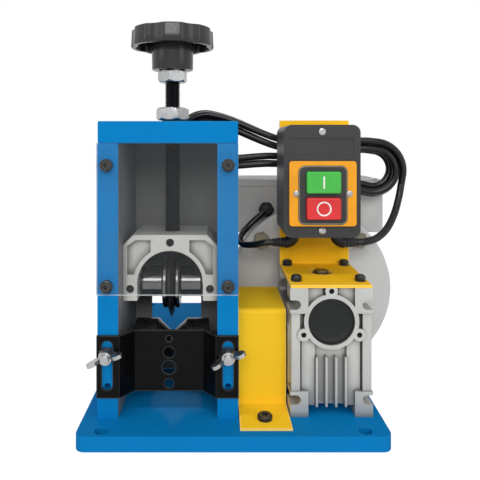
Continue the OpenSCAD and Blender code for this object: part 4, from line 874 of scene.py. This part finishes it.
class MACHINE_OT_gate(Operator):
    """Coats the base plate, the gate, the panel and the guard, and sets their screws"""

    bl_idname = "machine.gate"
    bl_label = "Base and gate"

    def execute(self, context):
        dress(rounded_copy("base_plate", "base_plate_coat", 1.5, 3), "frame_enamel")
        dress(rounded_copy("top_plate", "top_plate_coat", 1.4, 3), "frame_enamel")
        for node in ("left_post", "right_post"):
            dress(rounded_copy(node, node + "_coat", 0.8, 3), "post_enamel")
        dress(rounded_copy("rear_panel", "rear_panel_sheet", 0.4), "panel_enamel")
        guard = eased_back(rounded_copy("front_guard", "front_guard_sheet", 0.8, 3), 0.08)
        dress(guard, "clear_acrylic")
        dress(rounded_copy("cap_screws", "cap_screws_black", 0.35), "screw_black")
        dress(rounded_copy("pan_screws", "pan_screws_bright", 0.2), "zinc_plate")
        return {"FINISHED"}


class MACHINE_OT_cutter_head(Operator):
    """Finishes the yoke, its axle and set screws, and the cutter that turns in it"""

    bl_idname = "machine.cutter_head"
    bl_label = "Cutter head"

    def execute(self, context):
        dress(rounded_copy("bearing_yoke", "yoke_body", 0.9, 3), "yoke_casting", "yoke")
        dress(rounded_copy("yoke_set_screws", "yoke_grub_screws", 0.25), "oiled_black", "yoke")
        dress(rounded_copy("cutter_axle", "cutter_axle_bar", 0.8), "cutter_steel", "yoke")
        collars = rounded_copy("cutter_collars", "cutter_collar_pair", 0.4, 3)
        dress(collars, "collar_steel", "yoke")
        hub = rounded_copy("cutter_hub", "cutter_hub_flanges", 0.4, 3)
        dress(hub, "cutter_steel", "cutter")
        blade = rounded_copy("cutter_blade", "cutter_blade_disc", 0.1, 1, 20)
        dress(blade, "blade_steel", "cutter")
        return {"FINISHED"}


# Pressure screw


def thread_rings(low, high, radius, pitch, neck, steps=44):
    """A right-hand thread: the groove's depth follows height in pitches less the share of a turn, with flat
    crests, a plain neck near one end and a chamfer at both."""
    z = np.arange(low, high + 1e-6, pitch / 8)[:, None]
    a = circle(steps)[None, :]
    share = (z / pitch - a / TURN) % 1
    groove = np.clip(1.3 * (1 - np.abs(2 * share - 1)) - 0.15, 0, 1)
    r = radius - 0.6 * pitch * groove
    r = np.minimum(r, radius - 1.6 + np.minimum(z - low, high - z))
    r = np.where(np.abs(z - neck) < 3, np.minimum(r, radius - 2), r)
    return round_points(r, a, z)


def pressure_screw(pitch):
    """The threaded screw from the yoke up into the knob."""
    low, high = span("adjusting_screw")
    rings = thread_rings(low[2], high[2], (high[0] - low[0]) / 2, pitch, low[2] + 4)
    piece = assemble("pressure_screw", lofted(rings + (*SCREW_AXIS[:2], 0)), flat_angle=60)
    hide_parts("adjusting_screw")
    return piece


def bright_nut(node, across, turn):
    """A hexagon nut in place of an imported one, as wide across its flats and turned by so many degrees."""
    low, high = span(node)
    screw = span("adjusting_screw")
    rings = hex_rings(across, high[2] - low[2], screw[1][0] - screw[0][0] + 0.6)
    c, s = math.cos(math.radians(turn)), math.sin(math.radians(turn))
    rings = rings @ np.array([[c, s, 0], [-s, c, 0], [0, 0, 1]]) + (*SCREW_AXIS[:2], low[2])
    piece = assemble(node + "_bright", lofted(rings, closed=True), flat_angle=24)
    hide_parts(node)
    return piece


def lobed_knob(lobes):
    """A hand knob: its radius is a circle eased into scallops, and its profile runs from the hub up inside
    the hollow, round the rim and over the domed top. Each row is (radius, height, share of the scallops)."""
    low, high = span("hand_knob")
    r, top, scoop, depth = (high[1] - low[1]) / 2 + 1, 43.0, 22.0, 2.6
    front = math.radians(275)
    a = circle(320)
    off = ((a - front) * lobes / TURN) % 1 * TURN / lobes - math.pi / lobes
    centre = r + scoop - depth
    under = scoop**2 - (centre * np.sin(off)) ** 2
    cut = np.where(under > 0, centre * np.cos(off) - np.sqrt(np.maximum(under, 0)), r + 6)
    scallop = -0.7 * np.logaddexp(-r / 0.7, -cut / 0.7) - r
    fillet = np.linspace(0, math.pi / 2, 9)
    hub = [(0, 0), (19.4, 0), (20.7, 0.4), (21.2, 1.5), (21.5, 20), (21.5, 35.2), (22.2, 36.6), (23.8, 37)]
    rim = [(7, 37), (5.4, 36.5), (5, 35), (4.6, 24.1), (4.3, 23.3), (3.6, 23), (1.6, 23), (0.5, 23.3),
           (0, 24.2), (0.4, 31)]
    rim += [(2.4 - 1.6 * math.cos(f), top - 2.8 + 1.6 * math.sin(f)) for f in fillet]
    dome = [(0.8, 0.6, 0.8), (0.6, 0.1, 0.35), (0.42, 0, 0.1), (0.405, 0.4, 0), (0.39, 0.8, 0),
            (0.36, 0.8, 0), (0.345, 0.4, 0), (0.33, 0, 0), (0.15, 0, 0), (0, 0, 0)]
    rows = [(radius, level, 0) for radius, level in hub]
    rows += [(r - inset, level, 1) for inset, level in rim]
    rows += [(r * part, top - dip, share) for part, dip, share in dome]
    rows = np.array(rows)
    rings = round_points(rows[:, :1] + rows[:, 2:] * scallop, a, rows[:, 1:2])
    piece = assemble("knob_grip", lofted(rings + (*SCREW_AXIS[:2], low[2])), flat_angle=40)
    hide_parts("hand_knob")
    return piece


class MACHINE_OT_pressure_screw(Operator):
    """Cuts the screw's thread and makes its nuts and its lobed knob"""

    bl_idname = "machine.pressure_screw"
    bl_label = "Pressure screw"

    def execute(self, context):
        sizes = context.scene.machine_sizes
        dress(pressure_screw(sizes.thread_pitch / MM), "oiled_black", "knob")
        dress(bright_nut("jam_nut", 27, 22), "zinc_plate", "knob")
        dress(bright_nut("lock_nut", 30, -9), "zinc_plate")
        dress(lobed_knob(sizes.knob_lobes), "knob_plastic", "knob")
        dress(rounded_copy("screw_spacer", "screw_spacer_ring", 0.3), "oiled_black")
        return {"FINISHED"}


class MACHINE_OT_feed(Operator):
    """Finishes the feed roller, the wire guide with its wing nuts, and the coupling cover"""

    bl_idname = "machine.feed"
    bl_label = "Feed and guide"

    def execute(self, context):
        dress(rounded_copy("feed_roller", "feed_roller_body", 0.4), "roller_black", "feed")
        dress(rounded_copy("guide_plate", "guide_plate_sheet", 0.6), "guide_black", "guide")
        for side in ("left", "right"):
            nut = rounded_copy(side + "_wing_nut", side + "_wing_nut_cast", 0.9, 3)
            dress(nut, "zinc_plate", side + "_nut")
        dress(rounded_copy("guide_studs", "guide_stud_pair", 0.6), "zinc_plate")
        dress(rounded_copy("coupling_cover", "coupling_cover_sheet", 0.45), "cover_enamel")
        return {"FINISHED"}


# Gearbox and motor


def domed_cap():
    """The black cap: a shallow dish with a rounded edge."""
    low, high = span("worm_cap")
    r = (high[0] - low[0]) / 2
    depth = high[1] - low[1]
    profile = [(0, depth), (r, depth), (r, 1.2), (r - 0.3, 0.5), (r - 1, 0.15), (r - 2.2, 0), (r - 4, 0.25),
               (r - 5.2, 0.9), (r - 7, 1.05), (0, 1.05)]
    rings = along_y(turned(profile), (WORM_AXIS[0], low[1], WORM_AXIS[2]))
    piece = assemble("worm_cap_moulded", lofted(rings))
    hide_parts("worm_cap")
    return piece


def gearbox_bands():
    """Flat bands and side ribs cast on the gearbox's front; each row is (left, right, foot, top, depth behind
    the housing's front, thickness), measured from the housing's middle and from the base."""
    centre = middle("gearbox_housing")[0]
    front = span("gearbox_housing")[0][1]
    rows = [(14.8, 28.3, 9, 72, 8, 4), (29.3, 38, 23, 98.5, 7, 6), (7, 23, 97.5, 121, 8, 4)]
    rows += [(-right, -left, foot, top, behind, thick) for left, right, foot, top, behind, thick in rows]
    shells = []
    for left, right, foot, top, behind, thick in rows:
        rings = rect_rings(right - left, top - foot, 0.9, edge_rows(0, thick, 0.8))
        at = (centre + (left + right) / 2, front + behind, BASE_TOP + (foot + top) / 2)
        shells.append(lofted(to_front(rings, at)))
    return assemble("gearbox_bands", *shells)


class MACHINE_OT_gearbox(Operator):
    """Finishes the gearbox casting, its covers, cap and oil plug"""

    bl_idname = "machine.gearbox"
    bl_label = "Gearbox"

    def execute(self, context):
        dress(rounded_copy("gearbox_housing", "gearbox_cast", 0.8, 3), "gearbox_casting")
        dress(rounded_copy("gear_side_covers", "gearbox_covers", 0.6), "gearbox_casting")
        dress(gearbox_bands(), "gearbox_casting")
        dress(domed_cap(), "cap_plastic")
        dress(rounded_copy("oil_plug", "oil_plug_hexagon", 0.4), "passivated")
        return {"FINISHED"}


class MACHINE_OT_motor(Operator):
    """Finishes the motor, its flange, cowl and terminal box"""

    bl_idname = "machine.motor"
    bl_label = "Motor"

    def execute(self, context):
        for node in ("motor_flange", "motor_casing", "rear_shield", "terminal_box", "terminal_lid"):
            dress(rounded_copy(node, node + "_coat", 0.6), "motor_enamel")
        dress(rounded_copy("flange_bolts", "flange_bolts_dulled", 0.3), "passivated")
        dress(rounded_copy("fan_cowl", "fan_cowl_moulded", 0.4), "cowl_plastic")
        return {"FINISHED"}


# Switch


def push_button(node, name):
    """A button with a rounded front edge and a face dished by a shallow bow."""
    low, high = span(node)
    depth = high[1] - low[1]
    at = facing(node, high[1])
    bow = [(depth - 0.15, 2.4), (depth - 0.35, 4.5), (depth - 0.45, 7)]
    rows = np.vstack([edge_rows(0, depth, 1.5), bow])
    rings = rect_rings(high[0] - low[0], high[2] - low[2], 2.2, rows)
    piece = assemble(name, lofted(to_front(rings, at)), flat_angle=50)
    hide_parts(node)
    return piece


def button_mark(node, name):
    """A bar on the start button and a ring on the stop button, just proud of the dished face."""
    at = facing(node, span(node)[0][1] + 0.75)
    if node == "start_button":
        return assemble(name, lofted(to_front(rect_rings(1.7, 12, 0.5, edge_rows(0, 0.5, 0.15)), at)))
    profile = [(5.7, 0), (5.7, 0.4), (5.85, 0.5), (7.05, 0.5), (7.2, 0.4), (7.2, 0)]
    return assemble(name, lofted(to_front(turned(profile, 64), at), closed=True))


def bezel_rim():
    """A raised lip round the buttons: a rounded rectangle whose section is a half round."""
    low, high = span("contact_block")
    face = span("switch_faceplate")[0][1]
    a = np.linspace(0, math.pi, 9)
    rows = [(0, -2.4), *zip(1.3 * np.sin(a), -1.2 - 1.2 * np.cos(a)), (0, 0)]
    rings = rect_rings(high[0] - low[0], high[2] - low[2], 4.5, rows)
    at = facing("contact_block", face + 0.2)
    return assemble("bezel_rim", lofted(to_front(rings, at), closed=True))


class MACHINE_OT_switch(Operator):
    """Makes the switch on its bracket, with its marked buttons"""

    bl_idname = "machine.switch"
    bl_label = "Switch"

    def execute(self, context):
        dress(rounded_copy("switch_bracket", "switch_bracket_sheet", 0.4), "bracket_enamel")
        dress(rounded_copy("switch_box", "switch_box_moulded", 0.5), "switch_plastic")
        dress(rounded_copy("switch_lid", "switch_lid_moulded", 0.9, 3), "switch_plastic")
        dress(rounded_copy("switch_faceplate", "faceplate_moulded", 0.6), "face_moulded")
        dress(rounded_copy("contact_block", "contact_block_bezel", 0.4), "switch_plastic")
        dress(bezel_rim(), "bezel_plastic")
        for way, slot in (("start", "green_plastic"), ("stop", "red_plastic")):
            node = way + "_button"
            dress(push_button(node, node + "_moulded"), way + "_plastic", way)
            mark = button_mark(node, way + "_mark")
            dress(mark, "mark_white", way)
        return {"FINISHED"}


class MACHINE_OT_inner_parts(Operator):
    """Gives the shafts, gears, bearings, coupling, rotor and fan their finishes"""

    bl_idname = "machine.inner_parts"
    bl_label = "Inner parts"

    def execute(self, context):
        worn = {
            "feed_steel": ("feed_spacers", "feed_shaft", "shaft_bearings", "coupling_hubs", "output_shaft"),
            "motor_steel": ("worm", "worm_bearings", "motor_rotor"),
            "gear_bronze": ("worm_wheel",),
            "spider_rubber": ("coupling_spider",),
            "cowl_plastic": ("motor_fan",),
        }
        for finish, nodes in worn.items():
            for node in nodes:
                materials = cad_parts[node].data.materials
                materials.clear()
                materials.append(bpy.data.materials[finish])
        return {"FINISHED"}


# Sidebar and running order


class MACHINE_PT_sidebar(Panel):
    """Shows a button for each step and lists the machine's settings."""

    bl_label = "Wire Stripping Machine"
    bl_idname = "MACHINE_PT_sidebar"
    bl_space_type = "VIEW_3D"
    bl_region_type = "UI"
    bl_category = "Machine"

    def draw(self, context):
        for operator in OPERATORS:
            self.layout.operator(operator.bl_idname)
        for group in (context.scene.machine_colours, context.scene.machine_sizes):
            for field in group.__annotations__:
                self.layout.prop(group, field)


OPERATORS = (
    MACHINE_OT_finishes,
    MACHINE_OT_gate,
    MACHINE_OT_cutter_head,
    MACHINE_OT_pressure_screw,
    MACHINE_OT_feed,
    MACHINE_OT_gearbox,
    MACHINE_OT_motor,
    MACHINE_OT_switch,
    MACHINE_OT_inner_parts,
    MACHINE_OT_cords,
    MACHINE_OT_stage,
)
CLASSES = (MachineColours, MachineSizes, *OPERATORS, MACHINE_PT_sidebar)


def register():
    for kind in CLASSES:
        bpy.utils.register_class(kind)
    bpy.types.Scene.machine_colours = PointerProperty(type=MachineColours)
    bpy.types.Scene.machine_sizes = PointerProperty(type=MachineSizes)


def unregister():
    del bpy.types.Scene.machine_sizes
    del bpy.types.Scene.machine_colours
    for kind in reversed(CLASSES):
        bpy.utils.unregister_class(kind)


def main():
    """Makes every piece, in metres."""
    register()
    for operator in OPERATORS:
        group, name = operator.bl_idname.split(".")
        getattr(getattr(bpy.ops, group), name)()


if __name__ == "__main__":
    main()
